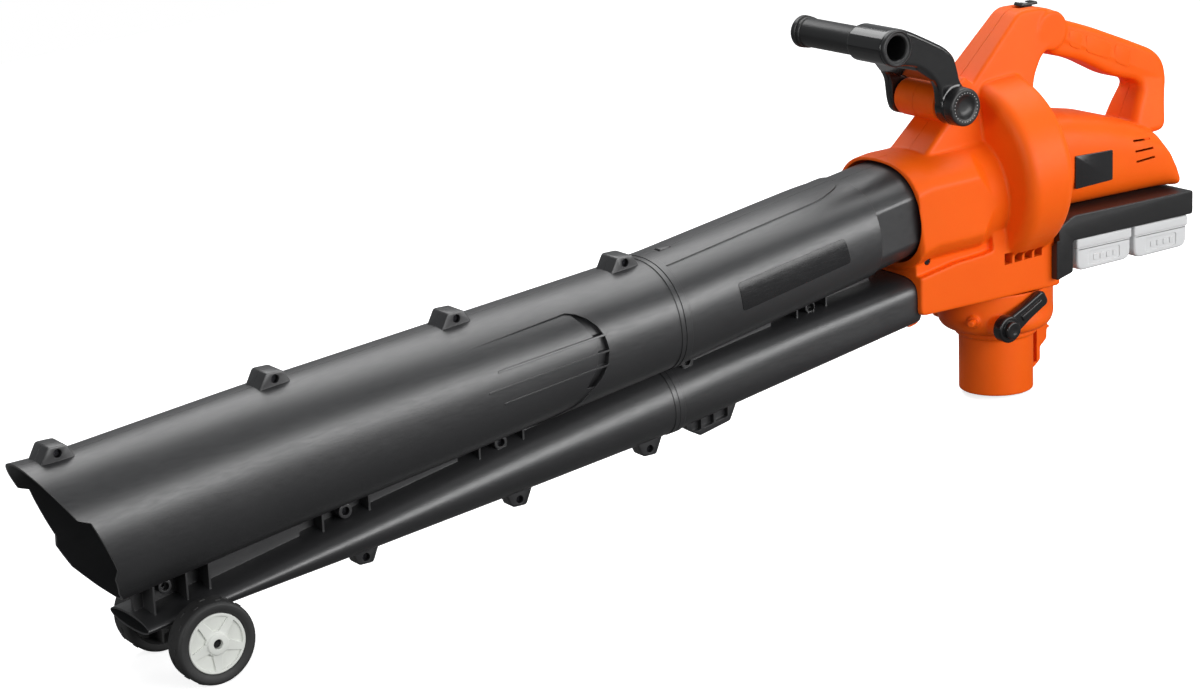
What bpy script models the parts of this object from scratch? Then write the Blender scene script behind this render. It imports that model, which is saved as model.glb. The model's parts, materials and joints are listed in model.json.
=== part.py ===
"""Cordless leaf vacuum mulcher, modelled as the separate pieces it is assembled from.

Tool frame, in millimetres: the origin is the centre of the bag outlet's lower rim,
+Z runs up along the outlet, -X points to the nozzle and -Y is the machine's left.
The whole tool hangs on the empty "machine", which pitches it so that the two wheels
and the outlet's rim stand together on z = 0, and centres it over the world's origin.
"""
import math

import bmesh
import bpy
from mathutils import Matrix, Vector

MM = 0.001
GAP = 0.3                      # clearance between touching pieces
WALL = 2.6                     # moulded wall thickness
ROUND = 28                     # segments of a full turn on large round shapes
WELD = 0.004                   # points closer than this are one point
SMALL_ROUND = 16               # segments on screws, pins and bosses

# ---- driving dimensions (mm) -------------------------------------------------
NOZZLE_TIP_X = -1083.5
TUBE_JOINT_X = -434.0          # plane where the front tube meets the rear tube
BLOW_JOINT_X = -423.5          # where the same leaning plane meets the blow tube
TUBE_END_X = -138.0            # rear end of the suction tube, inside the collar
TUBE_TILT = 7.0                # lean of the tube rings, degrees
SEAM = GAP / 2                 # half of the gap between left and right shells

WHEEL_X, WHEEL_Z = -939.0, -31.0
TYRE_R, HUB_R, WHEEL_W = 37.5, 27.4, 23.0
WHEEL_OUT_Y = 64.0             # outer face of each wheel
AXLE_R = 4.0

FAN_TILT = math.radians(5.0)   # the fan axis rises rearwards by this angle
FAN_AXIS_Z = 217.5             # height of the fan axis at x = 0
SCROLL_X, SCROLL_Z = -6.0, 233.5
SCROLL_R, SCROLL_HALF = 97.0, 30.0
IMPELLER_R = 73.0
SHAFT_R = 4.0

SPIGOT_R, SPIGOT_WALL = 38.0, 2.6
BOWL_R, BOWL_TOP_Z, BOWL_LOW_Z = 64.0, 109.0, 60.0
BOWL_WIDTH_SHARE = 0.78        # the throat is narrower across than along the tool

YOKE_PIVOT = (-89.0, 313.0)    # x, z of the auxiliary handle's pivot
BAR_CENTRE = (-166.0, 380.0)   # x, z of the auxiliary handle's bar
BAR_Y0, BAR_Y1 = -50.0, 97.0
BAR_R = 14.5

LEVER_AXIS = (-35.0, 79.0)     # x, z of the mode lever and its flap
FLAP_REACH, FLAP_HALF = 62.0, 31.0
CATCH_TRAVEL = 3.5             # how far the bag catch can be pushed in
LATCH_X, LATCH_HALF_X, LATCH_HALF_Y = -415.0, 6.0, 4.2
PACK_W, PACK_LEN, PACK_TOP_Z = 76.0, 116.0, 155.6
PACK_X = (59.0, 139.0)         # front edges of the two packs
LUG_X = (-1048.0, -840.0, -653.0, -467.0)
LUG_HALF, LOW_LUG_HALF = 13.0, 8.0
LOW_LUG_X = (-758.0, -592.0, -443.0)
WEB_BOSS_X = (-781.0, -615.0)
WEB_BOSS_HALF = 17.0

SCREW_R, SCREW_HEAD_R, SCREW_HEAD_H = 1.8, 3.1, 2.0
SCREW_HOLE_R, SCREW_SEAT_R = 2.4, 3.9
SCREW_SINK = 4.5               # depth of a counterbore below its face
PLENUM_SCREW = (-128.0, 162.5, 52.0, 5.0)  # x, z, half width over the faces, length

COLOURS = {
    "charcoal": ((0.052, 0.053, 0.056), 0.42, 0.0),
    "orange": ((0.89, 0.13, 0.012), 0.38, 0.0),
    "black": ((0.014, 0.014, 0.015), 0.30, 0.0),
    "tyre": ((0.035, 0.036, 0.036), 0.75, 0.0),
    "hub": ((0.48, 0.51, 0.47), 0.50, 0.0),
    "pack": ((0.74, 0.75, 0.76), 0.35, 0.0),
    "steel": ((0.55, 0.56, 0.58), 0.30, 1.0),
    "board": ((0.03, 0.16, 0.07), 0.50, 0.0),
}


# ---- tools -------------------------------------------------------------------
def material(name):
    found = bpy.data.materials.get(name)
    if found:
        return found
    colour, roughness, metallic = COLOURS[name]
    made = bpy.data.materials.new(name)
    made.use_nodes = True
    shader = made.node_tree.nodes["Principled BSDF"]
    shader.inputs["Base Color"].default_value = (*colour, 1.0)
    shader.inputs["Roughness"].default_value = roughness
    shader.inputs["Metallic"].default_value = metallic
    return made


def to_mesh(bm):
    bmesh.ops.recalc_face_normals(bm, faces=bm.faces)
    bmesh.ops.triangulate(bm, faces=[f for f in bm.faces if len(f.verts) == 4])
    mesh = bpy.data.meshes.new("shape")
    bm.to_mesh(mesh)
    bm.free()
    return mesh


def loft(rings):
    """Closed solid through rings of equal point count, with flat end caps."""
    bm = bmesh.new()
    rows = [[bm.verts.new(point) for point in ring] for ring in rings]
    count = len(rows[0])
    for low, high in zip(rows, rows[1:]):
        for i in range(count):
            j = (i + 1) % count
            bm.faces.new((low[i], low[j], high[j], high[i]))
    bm.faces.new(rows[0])
    bm.faces.new(rows[-1])
    return to_mesh(bm)


def ring(x, z, half_y, half_z, tilt=0.0, power=2.0, count=ROUND):
    """Superellipse across X, leaning back by tilt degrees."""
    points = []
    lean = math.radians(tilt)
    for i in range(count):
        angle = 2 * math.pi * (i + 0.5) / count
        across = math.copysign(abs(math.cos(angle)) ** (2 / power), math.cos(angle))
        up = math.copysign(abs(math.sin(angle)) ** (2 / power), math.sin(angle))
        rise = half_z * up
        points.append(Vector((x - rise * math.sin(lean), half_y * across,
                              z + rise * math.cos(lean))))
    return points


def turned(profile, start, axis, count=ROUND):
    """Solid of revolution: profile holds (distance along axis, radius)."""
    axis = Vector(axis).normalized()
    side = axis.orthogonal().normalized()
    other = axis.cross(side)
    rings = []
    for along, radius in profile:
        centre = Vector(start) + axis * along
        rings.append([centre + (side * math.cos(a) + other * math.sin(a)) * radius
                      for a in (2 * math.pi * (i + 0.5) / count for i in range(count))])
    return loft(rings)


def rod(start, axis, length, radius, count=SMALL_ROUND):
    return turned(((0, radius), (length, radius)), start, axis, count)


def rod_y(x, z, y0, y1, radius, count=SMALL_ROUND):
    return rod((x, y0, z), (0, 1, 0), y1 - y0, radius, count)


def box(x0, x1, y0, y1, z0, z1):
    corners = ((x0, y0), (x1, y0), (x1, y1), (x0, y1))
    return loft([[Vector((x, y, z)) for x, y in corners] for z in (z0, z1)])


def slab(outline, y0, y1, round_off=0.0):
    """Outline of (x, z) points carried across Y, its long edges rounded off."""
    levels = [(y0, 0.0), (y1, 0.0)]
    if round_off:
        steps = 2
        turns = [math.pi / 2 * i / steps for i in range(steps + 1)]
        near = [(y0 + round_off * (1 - math.sin(t)), round_off * (1 - math.cos(t)))
                for t in reversed(turns)]
        far = [(y0 + y1 - y, pull) for y, pull in reversed(near)]
        levels = near + far
    return loft([[Vector((x, y, z)) for x, z in inset(outline, pull)] for y, pull in levels])


def inset(outline, amount):
    """The outline moved inwards by amount (outwards when negative)."""
    if not amount:
        return list(outline)
    count = len(outline)
    area = sum(outline[i - 1][0] * outline[i][1] - outline[i][0] * outline[i - 1][1]
               for i in range(count))
    turn = 1 if area > 0 else -1
    moved = []
    for i in range(count):
        before, here, after = (Vector(outline[k % count]) for k in (i - 1, i, i + 1))
        first = (here - before).normalized()
        second = (after - here).normalized()
        normal_a = Vector((-first.y, first.x)) * turn
        normal_b = Vector((-second.y, second.x)) * turn
        bisector = (normal_a + normal_b).normalized()
        stretch = max(bisector.dot(normal_a), 0.35)
        moved.append(tuple(here + bisector * amount / stretch))
    return moved


def rounded(corners, radius, steps=4):
    """Outline with each corner replaced by a short arc; radius may vary per corner."""
    count = len(corners)
    points = []
    for i in range(count):
        here = Vector(corners[i])
        reach = radius[i] if isinstance(radius, (list, tuple)) else radius
        to_before = Vector(corners[i - 1]) - here
        to_after = Vector(corners[(i + 1) % count]) - here
        reach = min(reach, to_before.length * 0.45, to_after.length * 0.45)
        if reach <= 0:
            points.append(tuple(here))
            continue
        start = here + to_before.normalized() * reach
        end = here + to_after.normalized() * reach
        for k in range(steps + 1):
            t = k / steps
            points.append(tuple(start * (1 - t) ** 2 + here * 2 * t * (1 - t) + end * t ** 2))
    return points


def combine(operation, base, *tools):
    """Boolean of base with each tool mesh in turn; the tools are used up."""
    for tool in tools:
        body = bpy.data.objects.new("body", base)
        cutter = bpy.data.objects.new("cutter", tool)
        for thing in (body, cutter):
            bpy.context.scene.collection.objects.link(thing)
        step = body.modifiers.new("step", "BOOLEAN")
        step.operation = operation
        step.solver = "EXACT"
        step.object = cutter
        bpy.context.view_layer.update()
        graph = bpy.context.evaluated_depsgraph_get()
        result = bpy.data.meshes.new_from_object(body.evaluated_get(graph))
        for thing in (body, cutter):
            bpy.data.objects.remove(thing)
        bpy.data.meshes.remove(base)
        bpy.data.meshes.remove(tool)
        base = result
    return base


def union(base, *tools):
    return combine("UNION", base, *tools)


def cut(base, *tools):
    return combine("DIFFERENCE", base, *tools)


def half(mesh, side):
    """The part of the mesh on one side of the seam: side -1 is left, +1 is right."""
    far = 300.0
    low, high = (-far, -SEAM) if side < 0 else (SEAM, far)
    return combine("INTERSECT", mesh, box(-1300, 500, low, high, -200, 500))


def both_halves(mesh):
    return half(mesh.copy(), -1), half(mesh, 1)


def tidy(mesh):
    """Weld the near-coincident points that a Boolean can leave behind."""
    bm = bmesh.new()
    bm.from_mesh(mesh)
    bmesh.ops.remove_doubles(bm, verts=bm.verts, dist=WELD)
    bmesh.ops.dissolve_degenerate(bm, edges=bm.edges, dist=WELD)
    bm.to_mesh(mesh)
    bm.free()


def add(name, mesh, colour, pivot=(0, 0, 0), sharp=38):
    """One named piece, its origin on pivot (tool frame, mm)."""
    tidy(mesh)
    mesh.name = name
    mesh.transform(Matrix.Translation(-Vector(pivot)))
    mesh.transform(Matrix.Scale(MM, 4))
    mesh.materials.clear()
    mesh.materials.append(material(colour))
    mesh.shade_smooth()
    mesh.set_sharp_from_angle(angle=math.radians(sharp))
    piece = bpy.data.objects.new(name, mesh)
    bpy.context.scene.collection.objects.link(piece)
    piece.parent = bpy.data.objects["machine"]
    piece.location = Vector(pivot) * MM
    return piece


def between(x, table):
    """Straight-line interpolation in rows of (x, value, value, ...)."""
    if x <= table[0][0]:
        low, high = table[0], table[1]
    elif x >= table[-1][0]:
        low, high = table[-2], table[-1]
    else:
        low, high = next((a, b) for a, b in zip(table, table[1:]) if a[0] <= x <= b[0])
    share = (x - low[0]) / (high[0] - low[0])
    return [a + (b - a) * share for a, b in zip(low[1:], high[1:])]


def fan_point(x, y=0.0, offset=0.0):
    """Point on the fan axis at x, moved off it by offset in the fan's own up."""
    return (x - offset * math.sin(FAN_TILT), y,
            FAN_AXIS_Z + x * math.tan(FAN_TILT) + offset * math.cos(FAN_TILT))


FAN_AXIS = (math.cos(FAN_TILT), 0.0, math.sin(FAN_TILT))


def on_fan(mesh, turn=0.0):
    """Carry a mesh drawn along +X at the origin onto the fan axis, turned about it."""
    mesh.transform(Matrix.Rotation(turn, 4, "X"))
    mesh.transform(Matrix.Rotation(-FAN_TILT, 4, "Y"))
    mesh.transform(Matrix.Translation(fan_point(0)))
    return mesh


# ---- tubes -------------------------------------------------------------------
# x, centre height, half width, half height, squareness
SUCTION = ((-1100, 70.0, 66.5, 74.0, 2.1), (-1041, 77.5, 65.5, 72.5, 2.1),
           (-845, 101.5, 63.0, 67.5, 2.2), (TUBE_JOINT_X, 153.0, 60.0, 59.0, 2.2),
           (TUBE_END_X, 209.0, 60.0, 52.0, 2.4))
BLOWER = ((-990, -15.5, 37.5, 7.5, 2.0), (-940, -8.0, 37.0, 10.5, 2.0),
          (-800, 13.0, 35.0, 19.0, 2.0), (-600, 42.0, 32.5, 26.5, 2.0),
          (BLOW_JOINT_X, 67.5, 31.0, 31.0, 2.0), (-330, 85.0, 36.0, 28.0, 2.6),
          (TUBE_END_X, 119.5, 45.0, 22.0, 4.0))


def duct(table, x0, x1, grow):
    """Tube from x0 to x1 through the stations of its table, grown outwards by grow."""
    stations = [x0] + [row[0] for row in table if x0 + 1 < row[0] < x1 - 1] + [x1]
    rings = []
    for x in stations:
        z, half_y, half_z, power = between(x, table)
        rings.append(ring(x, z, half_y + grow, half_z + grow, TUBE_TILT, power))
    return loft(rings)


def tube_top(x):
    z, _, half_z, _ = between(x, SUCTION)
    return z + half_z


def tube_bottom(x):
    z, _, half_z, _ = between(x, BLOWER)
    return z - half_z


def web(x0, x1, half_thickness):
    """Plate in the seam plane that joins the suction tube to the blow tube."""
    low = [(x, between(x, BLOWER)[0]) for x in (x0, x1)]
    high = [(x, between(x, SUCTION)[0]) for x in (x1, x0)]
    return slab(low + high, -half_thickness, half_thickness)


def top_lug(x):
    base = tube_top(x) - 6
    height = 18.0
    outline = rounded([(x - 17, base), (x + 19, base), (x + 8, base + height),
                       (x - 8, base + height)], [0, 0, 4, 4], 1)
    return slab(outline, -LUG_HALF, LUG_HALF)


def low_lug(x):
    base = tube_bottom(x) + 5
    outline = rounded([(x - 15, base - 1), (x - 7, base - 19), (x + 7, base - 19),
                       (x + 15, base + 2)], [0, 4, 4, 0], 1)
    return slab(outline, -LOW_LUG_HALF, LOW_LUG_HALF)


def web_boss_z(x):
    """Midway between the two tubes' walls beside a boss."""
    upper_z, upper_y, upper_h, _ = between(x, SUCTION)
    lower_z, lower_y, lower_h, _ = between(x, BLOWER)
    above = upper_z - upper_h * math.sqrt(1 - (WEB_BOSS_HALF / upper_y) ** 2)
    below = lower_z + lower_h * math.sqrt(1 - (WEB_BOSS_HALF / lower_y) ** 2)
    return (above + below) / 2


def nozzle_rim():
    """Everything ahead of the stepped, slanting mouth of the suction tube."""
    far = -1200
    return slab([(far, 220), (NOZZLE_TIP_X, 220), (NOZZLE_TIP_X, 149), (-1079, 140),
                 (-1066, 120), (-1056, 105), (-1045, 101), (-1024.5, 54.5),
                 (-1026, 46), (-1018, 28), (-1006, 14), (-998, 6), (-990, 0),
                 (-990, -60), (far, -60)], -100, 100)


def transverse_rib(x, half_y):
    low = between(x, BLOWER)[0]
    high = between(x, SUCTION)[0]
    return slab([(x - 1.5, low), (x + 1.5, low), (x + 1.5, high), (x - 1.5, high)],
                -half_y, half_y)


def axle_bracket():
    outline = rounded([(WHEEL_X - 24, -10), (WHEEL_X - 9, WHEEL_Z - 8),
                       (WHEEL_X + 9, WHEEL_Z - 8), (WHEEL_X + 30, -6)], [0, 6, 6, 0], 3)
    return slab(outline, -30, 30)


def front_tube():
    outer = union(duct(SUCTION, -1100, TUBE_JOINT_X - GAP, 0),
                  duct(BLOWER, -990, BLOW_JOINT_X - GAP, 0),
                  web(-986, TUBE_JOINT_X - 8, 2.5))
    for x in LUG_X:
        outer = union(outer, top_lug(x))
    for x in LOW_LUG_X:
        outer = union(outer, low_lug(x))
    for x in WEB_BOSS_X:
        outer = union(outer, rod_y(x, web_boss_z(x), -WEB_BOSS_HALF, WEB_BOSS_HALF, 7.0, 12))
    for x in (-955, -925):
        outer = union(outer, transverse_rib(x, 22))
    outer = union(outer, axle_bracket())
    spigot = duct(SUCTION, TUBE_JOINT_X - 8, TUBE_JOINT_X + 26, -WALL - GAP)
    collar = duct(SUCTION, TUBE_JOINT_X - 8, TUBE_JOINT_X - 2, -WALL / 2)
    outer = union(outer, spigot, collar)
    bore = duct(SUCTION, TUBE_JOINT_X - 12, TUBE_JOINT_X + 40, -2 * WALL - GAP)
    shell = cut(outer, duct(SUCTION, -1110, TUBE_JOINT_X - 10, -WALL), bore,
                duct(BLOWER, -1010, BLOW_JOINT_X + 10, -WALL), nozzle_rim())
    for x, z, face, length in tube_screw_places():
        shell = cut(shell, *screw_hole(x, z, face, length))
    shell = cut(shell, rod_y(WHEEL_X, WHEEL_Z, -60, 60, AXLE_R + GAP, 24), latch_window(2.0))
    left, right = both_halves(shell)
    add("front_tube_left_shell", left, "charcoal")
    add("front_tube_right_shell", right, "charcoal")


def hook_bracket():
    x0, x1 = -398, -335
    outline = [(x0, 62), (x1, 72), (x1 + 2, 44), (x1 - 6, 40), (x0 + 6, 30), (x0, 34)]
    plate = slab(outline, -7, 7)
    for x in (-385, -370, -355):
        plate = cut(plate, slab([(x, 38 + (x + 385) * 0.2), (x + 8, 40 + (x + 385) * 0.2),
                                 (x + 8, 33), (x, 31)], -10, 10))
    return plate


def latch_window(clearance):
    z = tube_top(LATCH_X)
    reach_x = LATCH_HALF_X + clearance
    reach_y = LATCH_HALF_Y + clearance
    return box(LATCH_X - reach_x, LATCH_X + reach_x, -reach_y, reach_y, z - 12, z + 12)


def rear_tube():
    start = TUBE_JOINT_X
    outer = union(duct(SUCTION, start, TUBE_END_X, 0), duct(BLOWER, BLOW_JOINT_X, TUBE_END_X, 0),
                  web(start + 10, -168, 2.5), duct(SUCTION, start, start + 6, 1.2),
                  hook_bracket())
    outer = union(outer, rod_y(-404, 105, -17, 17, 7.0, 12),
                  rod_y(-255, 132, -17, 17, 7.0, 12))
    shell = cut(outer, duct(SUCTION, start - 10, TUBE_END_X + 10, -WALL),
                duct(BLOWER, BLOW_JOINT_X - 10, TUBE_END_X + 10, -WALL))
    shell = cut(shell, rod_y(-404, 105, -30, 30, 2.4), rod_y(-255, 132, -30, 30, 2.4, 8))
    shell = cut(shell, latch_window(0.8))
    left, right = both_halves(shell)
    add("rear_tube_left_shell", left, "charcoal")
    add("rear_tube_right_shell", right, "charcoal")


def tube_latch():
    """Spring button in the rear tube's window; it is pressed into the front tube's stub."""
    z = tube_top(LATCH_X)
    button = box(LATCH_X - LATCH_HALF_X, LATCH_X + LATCH_HALF_X, -LATCH_HALF_Y, LATCH_HALF_Y,
                 z - 2.2, z + 4)
    add("tube_latch_button", button, "charcoal", pivot=(LATCH_X, 0, z))


def tube_screw_places():
    """Centre (x, z), half thickness and screw length of each lug and web boss."""
    places = [(x, tube_top(x) + 5.5, LUG_HALF, 20.0) for x in LUG_X]
    places += [(x, tube_bottom(x) - 7.5, LOW_LUG_HALF, 10.0) for x in LOW_LUG_X]
    places += [(x, web_boss_z(x), WEB_BOSS_HALF, 26.0) for x in WEB_BOSS_X]
    return places


def screw_hole(x, z, face, length):
    """Counterbore from the left face and the hole that takes the screw's thread."""
    end = -face + SCREW_SINK + length + 2
    return (rod_y(x, z, -face - 2, -face + SCREW_SINK, SCREW_SEAT_R, 12),
            rod_y(x, z, -face, end, SCREW_HOLE_R, 8))


def add_screw(name, x, z, face, length):
    """Self-tapping screw whose head sits at the bottom of its counterbore."""
    start = -face + SCREW_SINK - GAP - SCREW_HEAD_H
    profile = ((0, SCREW_HEAD_R - 0.7), (0.8, SCREW_HEAD_R), (SCREW_HEAD_H - 0.01, SCREW_HEAD_R),
               (SCREW_HEAD_H, SCREW_R), (length, SCREW_R), (length + 2, 0.6))
    add(name, turned(profile, (x, start, z), (0, 1, 0), 8), "steel", pivot=(x, start, z))


def shell_screws():
    add_screw("body_screw", *PLENUM_SCREW)
    for number, (x, z, face, length) in enumerate(tube_screw_places(), 1):
        add_screw(f"tube_screw_{number}", x, z, face, length)


# ---- wheels ------------------------------------------------------------------
def wheels():
    axle = rod_y(WHEEL_X, WHEEL_Z, -WHEEL_OUT_Y + 4, WHEEL_OUT_Y - 4, AXLE_R, 20)
    add("wheel_axle", axle, "steel", pivot=(WHEEL_X, 0, WHEEL_Z))
    for word, side in (("left", -1), ("right", 1)):
        outer_face = side * WHEEL_OUT_Y
        inward = (0, -side, 0)
        centre = (WHEEL_X, outer_face, WHEEL_Z)
        pivot = (WHEEL_X, 0, WHEEL_Z)
        tyre = turned(((0, TYRE_R - 4), (3, TYRE_R), (WHEEL_W - 3, TYRE_R),
                       (WHEEL_W, TYRE_R - 4)), centre, inward, 36)
        bore = rod((WHEEL_X, outer_face + side * 5, WHEEL_Z), inward, WHEEL_W + 10,
                   HUB_R + GAP, 36)
        add(f"{word}_tyre", cut(tyre, bore), "tyre", pivot=pivot)
        hub = turned(((1.0, HUB_R - 1), (2.0, HUB_R), (WHEEL_W - 1, HUB_R),
                      (WHEEL_W, HUB_R - 1)), centre, inward, 36)
        hub = cut(hub, *wheel_pockets(outer_face, side))
        hub = cut(hub, rod((WHEEL_X, outer_face + side * 5, WHEEL_Z), inward, WHEEL_W + 10,
                           AXLE_R + GAP, 20))
        add(f"{word}_wheel_hub", hub, "hub", pivot=pivot)


def wheel_pockets(outer_face, side):
    """Five shallow wedge-shaped recesses between the spokes."""
    pockets = []
    for k in range(5):
        middle = 2 * math.pi * k / 5 + math.pi / 2
        outline = []
        for radius, spread in ((12.0, 0.22), (23.5, 0.44)):
            angles = [middle - spread, middle, middle + spread]
            if radius > 20:
                angles.reverse()
            outline += [(WHEEL_X + radius * math.cos(a), WHEEL_Z + radius * math.sin(a))
                        for a in angles]
        y0, y1 = sorted((outer_face - side * 4.5, outer_face + side * 5))
        pockets.append(slab(outline, y0, y1))
    return pockets


# ---- main body ---------------------------------------------------------------
def inlet_drum(pull):
    """Collar over the suction tube, narrowing to the round fan inlet."""
    shift = 8 if pull else 0
    front, rear = -168 - shift, -126
    return loft([ring(front, between(front, SUCTION)[0], 64.5 - pull, 56.5 - pull, 8, 2.4),
                 ring(rear, between(rear, SUCTION)[0], 64 - pull, 56 - pull, 8, 2.4),
                 ring(-120, 210.5, 60.5 - pull, 55 - pull, 9, 2.3),
                 ring(-92, 210.5, 56 - pull, 54 - pull, 6, 2.1),
                 ring(-60, 212, 54 - pull, 54 - pull, 5, 2.0),
                 ring(-20, 215.8, 54 - pull, 54 - pull, 5, 2.0)])


def scroll(pull):
    """Fan housing: a thick disc with rounded shoulders, square to the fan axis."""
    reach = SCROLL_HALF - pull
    radius = SCROLL_R - pull
    shoulder = 13.0
    steps = 2 if pull else 3
    profile = []
    for sign in (-1, 1):
        arc = [(sign * (reach - shoulder * (1 - math.sin(t))), radius - shoulder * (1 - math.cos(t)))
               for t in (math.pi / 2 * i / steps for i in range(steps + 1))]
        profile += arc[::-1] if sign < 0 else arc
    start = (SCROLL_X, 0, SCROLL_Z)
    return turned(profile, start, FAN_AXIS, 28 if pull else 40)


def outlet_box(pull):
    """Plenum below the fan that feeds the blow tube or the bag outlet."""
    top = 172.0 if not pull else 152.0
    corners = [(-142 + pull, 110 + pull), (42 - pull, 110 + pull), (42 - pull, top + 6),
               (-20, top + 6), (-60, top), (-142 + pull, top)]
    return slab(rounded(corners, [8, 9, 8, 3, 3, 8], 2), -52 + pull, 52 - pull, 0 if pull else 4)


def motor_housing(pull):
    """Boxy rounded hood behind the fan, with a flat floor over the tray."""
    floor = 182.4 + pull
    sections = ((20 if pull else 10, 284, 49, 3.4), (70, 281, 50, 3.4), (115, 273, 50, 3.2),
                (160, 260, 49.5, 3.0), (190, 247, 48, 3.0), (206, 228, 46.5, 3.0),
                (217 - pull, 200, 44.5, 3.2))
    rings = []
    for x, top, half_y, power in sections:
        top -= pull
        middle = (floor + top) / 2
        points = ring(x, middle, half_y - pull, top - middle, 0, power, 28)
        rings.append([Vector((p.x, p.y, max(p.z, floor))) for p in points])
    return loft(rings)


STRUT_OUTLINE = [(-134, 246), (-97, 281), (15, 387), (23, 390), (48, 390), (66, 385),
                 (80, 372), (70, 353), (46, 343), (34, 322), (29, 290), (20, 262),
                 (-20, 240), (-90, 240)]
STRUT_TAPER = ((259.0, 1.10), (389.0, 0.72))     # height and width share
GRIP_OUTER = [(52, 380), (78, 374), (118, 361), (172, 340), (206, 326), (219, 314),
              (224, 298), (219, 275), (215, 240), (172, 240), (180, 270), (189, 290),
              (181, 297), (150, 305), (104, 328), (60, 340)]


def handle(pull):
    """Front strut, rear-curving grip and rear post as one loop."""
    edge = 0 if pull else 1
    strut = slab(inset(rounded(STRUT_OUTLINE, 9, 2), pull), -26 + pull, 26 - pull, edge * 5)
    for vertex in strut.vertices:
        vertex.co.y *= between(vertex.co.z, STRUT_TAPER)[0]
    grip = slab(inset(rounded(GRIP_OUTER, 14, 2), pull), -18 + pull, 18 - pull, edge * 8)
    return union(strut, grip)


def body_outer():
    form = union(inlet_drum(0), scroll(0), outlet_box(0), motor_housing(0), handle(0))
    barrel = rod_y(*YOKE_PIVOT, -29, 29, 18, 24)
    rib = slab([(-101, 300), (-66, 300), (-40, 320), (-60, 335)], -24, 24)
    boss = rod_y(60, 365, -21, 21, 20, 24)
    return union(form, barrel, rib, boss)


def air_path():
    """Everything the leaves and air pass through, from inlet to outlet."""
    path = union(inlet_drum(WALL + 1.0), scroll(WALL + 0.4), outlet_box(WALL))
    port_z, port_y, port_h, power = between(TUBE_END_X, BLOWER)
    port = loft([ring(x, port_z + (x - TUBE_END_X) * 0.18, port_y + GAP + 0.2, port_h + GAP + 0.2,
                      TUBE_TILT, power) for x in (-160, -128)])
    flap_x = LEVER_AXIS[0]
    outlet = box(flap_x - 12, flap_x + FLAP_REACH + 10, -FLAP_HALF - 10, FLAP_HALF + 10, 104, 118)
    return union(path, port, outlet)


def handle_cavity():
    """Hollow of the grip loop, kept clear of the fan and inlet walls."""
    return cut(handle(WALL), scroll(-1.0), inlet_drum(-2.0), rod_y(*YOKE_PIVOT, -40, 40, 24, 20))


def side_vents():
    """Narrow cooling slots on both sides of the motor hood and below the fan."""
    slots = []
    for row in range(3):
        z = 236 - row * 11.5
        for side in (-1, 1):
            y0, y1 = sorted((side * 35, side * 60))
            slots.append(slab([(150, z + 1), (177, z), (177, z + 3), (150, z + 4)], y0, y1))
    for column in range(4):
        x = -34 + column * 14.5
        slots.append(box(x, x + 9, -60, -45, 143, 152))
    return slots


def main_body():
    shell = cut(body_outer(), air_path())
    shell = cut(shell, union(motor_housing(WALL), handle_cavity()))
    shell = cut(shell, rod(fan_point(2), FAN_AXIS, 30, 12.5, 24))
    shell = cut(shell, rod_y(*YOKE_PIVOT, -40, 40, 4.3))
    shell = cut(shell, box(27, 61, -6.5, 6.5, 380, 400))
    shell = cut(shell, *side_vents())
    shell = cut(shell, *screw_hole(*PLENUM_SCREW))
    left, right = both_halves(shell)
    add("body_left_shell", left, "orange")
    add("body_right_shell", right, "orange")


def bag_outlet():
    """Round throat under the plenum, with the spigot that the bag fits on."""
    outer = turned(((0, SPIGOT_R), (BOWL_LOW_Z - 3.5, SPIGOT_R), (BOWL_LOW_Z - 3, SPIGOT_R + 4),
                    (BOWL_LOW_Z + 3, SPIGOT_R + 4), (68, 49), (76, 56), (86, BOWL_R),
                    (BOWL_TOP_Z, BOWL_R)), (0, 0, 0), (0, 0, 1), 36)
    inner = turned(((-5, SPIGOT_R - SPIGOT_WALL), (BOWL_LOW_Z + 4, SPIGOT_R - SPIGOT_WALL),
                    (69, 46), (77, 53), (87, BOWL_R - 3), (BOWL_TOP_Z + 5, BOWL_R - 3)),
                   (0, 0, 0), (0, 0, 1), 32)
    for form in (outer, inner):
        for vertex in form.vertices:
            share = min(max((vertex.co.z - BOWL_LOW_Z - 3) / 23, 0), 1)
            vertex.co.y *= 1 - (1 - BOWL_WIDTH_SHARE) * share
    hub = union(rod_y(*LEVER_AXIS, -50, -30, 9.5, 20), rod_y(*LEVER_AXIS, 31, 51, 8.0, 18))
    pin_boss = rod((-50, -24, 86), (-0.87, -0.5, 0), 15, 4.5, 12)
    tail = slab(rounded([(30, 99), (59.3, 105.3), (59.3, 62), (50, 40), (42, 20), (34, 20)],
                        [0, 0, 5, 5, 3, 0], 1), -14.6, 14.6)
    outer = union(outer, hub, pin_boss, tail)
    outlet = cut(outer, inner, rod_y(*LEVER_AXIS, -70, 70, 4.4, 16))
    slot = box(48 - CATCH_TRAVEL, 58, -9, 9, 38, 62)
    add("bag_outlet", cut(outlet, slot), "orange")


def bag_catch():
    """Small spring catch behind the spigot that holds the bag's ring."""
    catch = slab(rounded([(51, 40), (57.2, 44), (57.2, 61.6), (48.6, 61.6), (48.6, 44)],
                         1.0, 1), -8.6, 8.6)
    add("bag_catch", catch, "black", pivot=(53, 0, 61.6))


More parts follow.
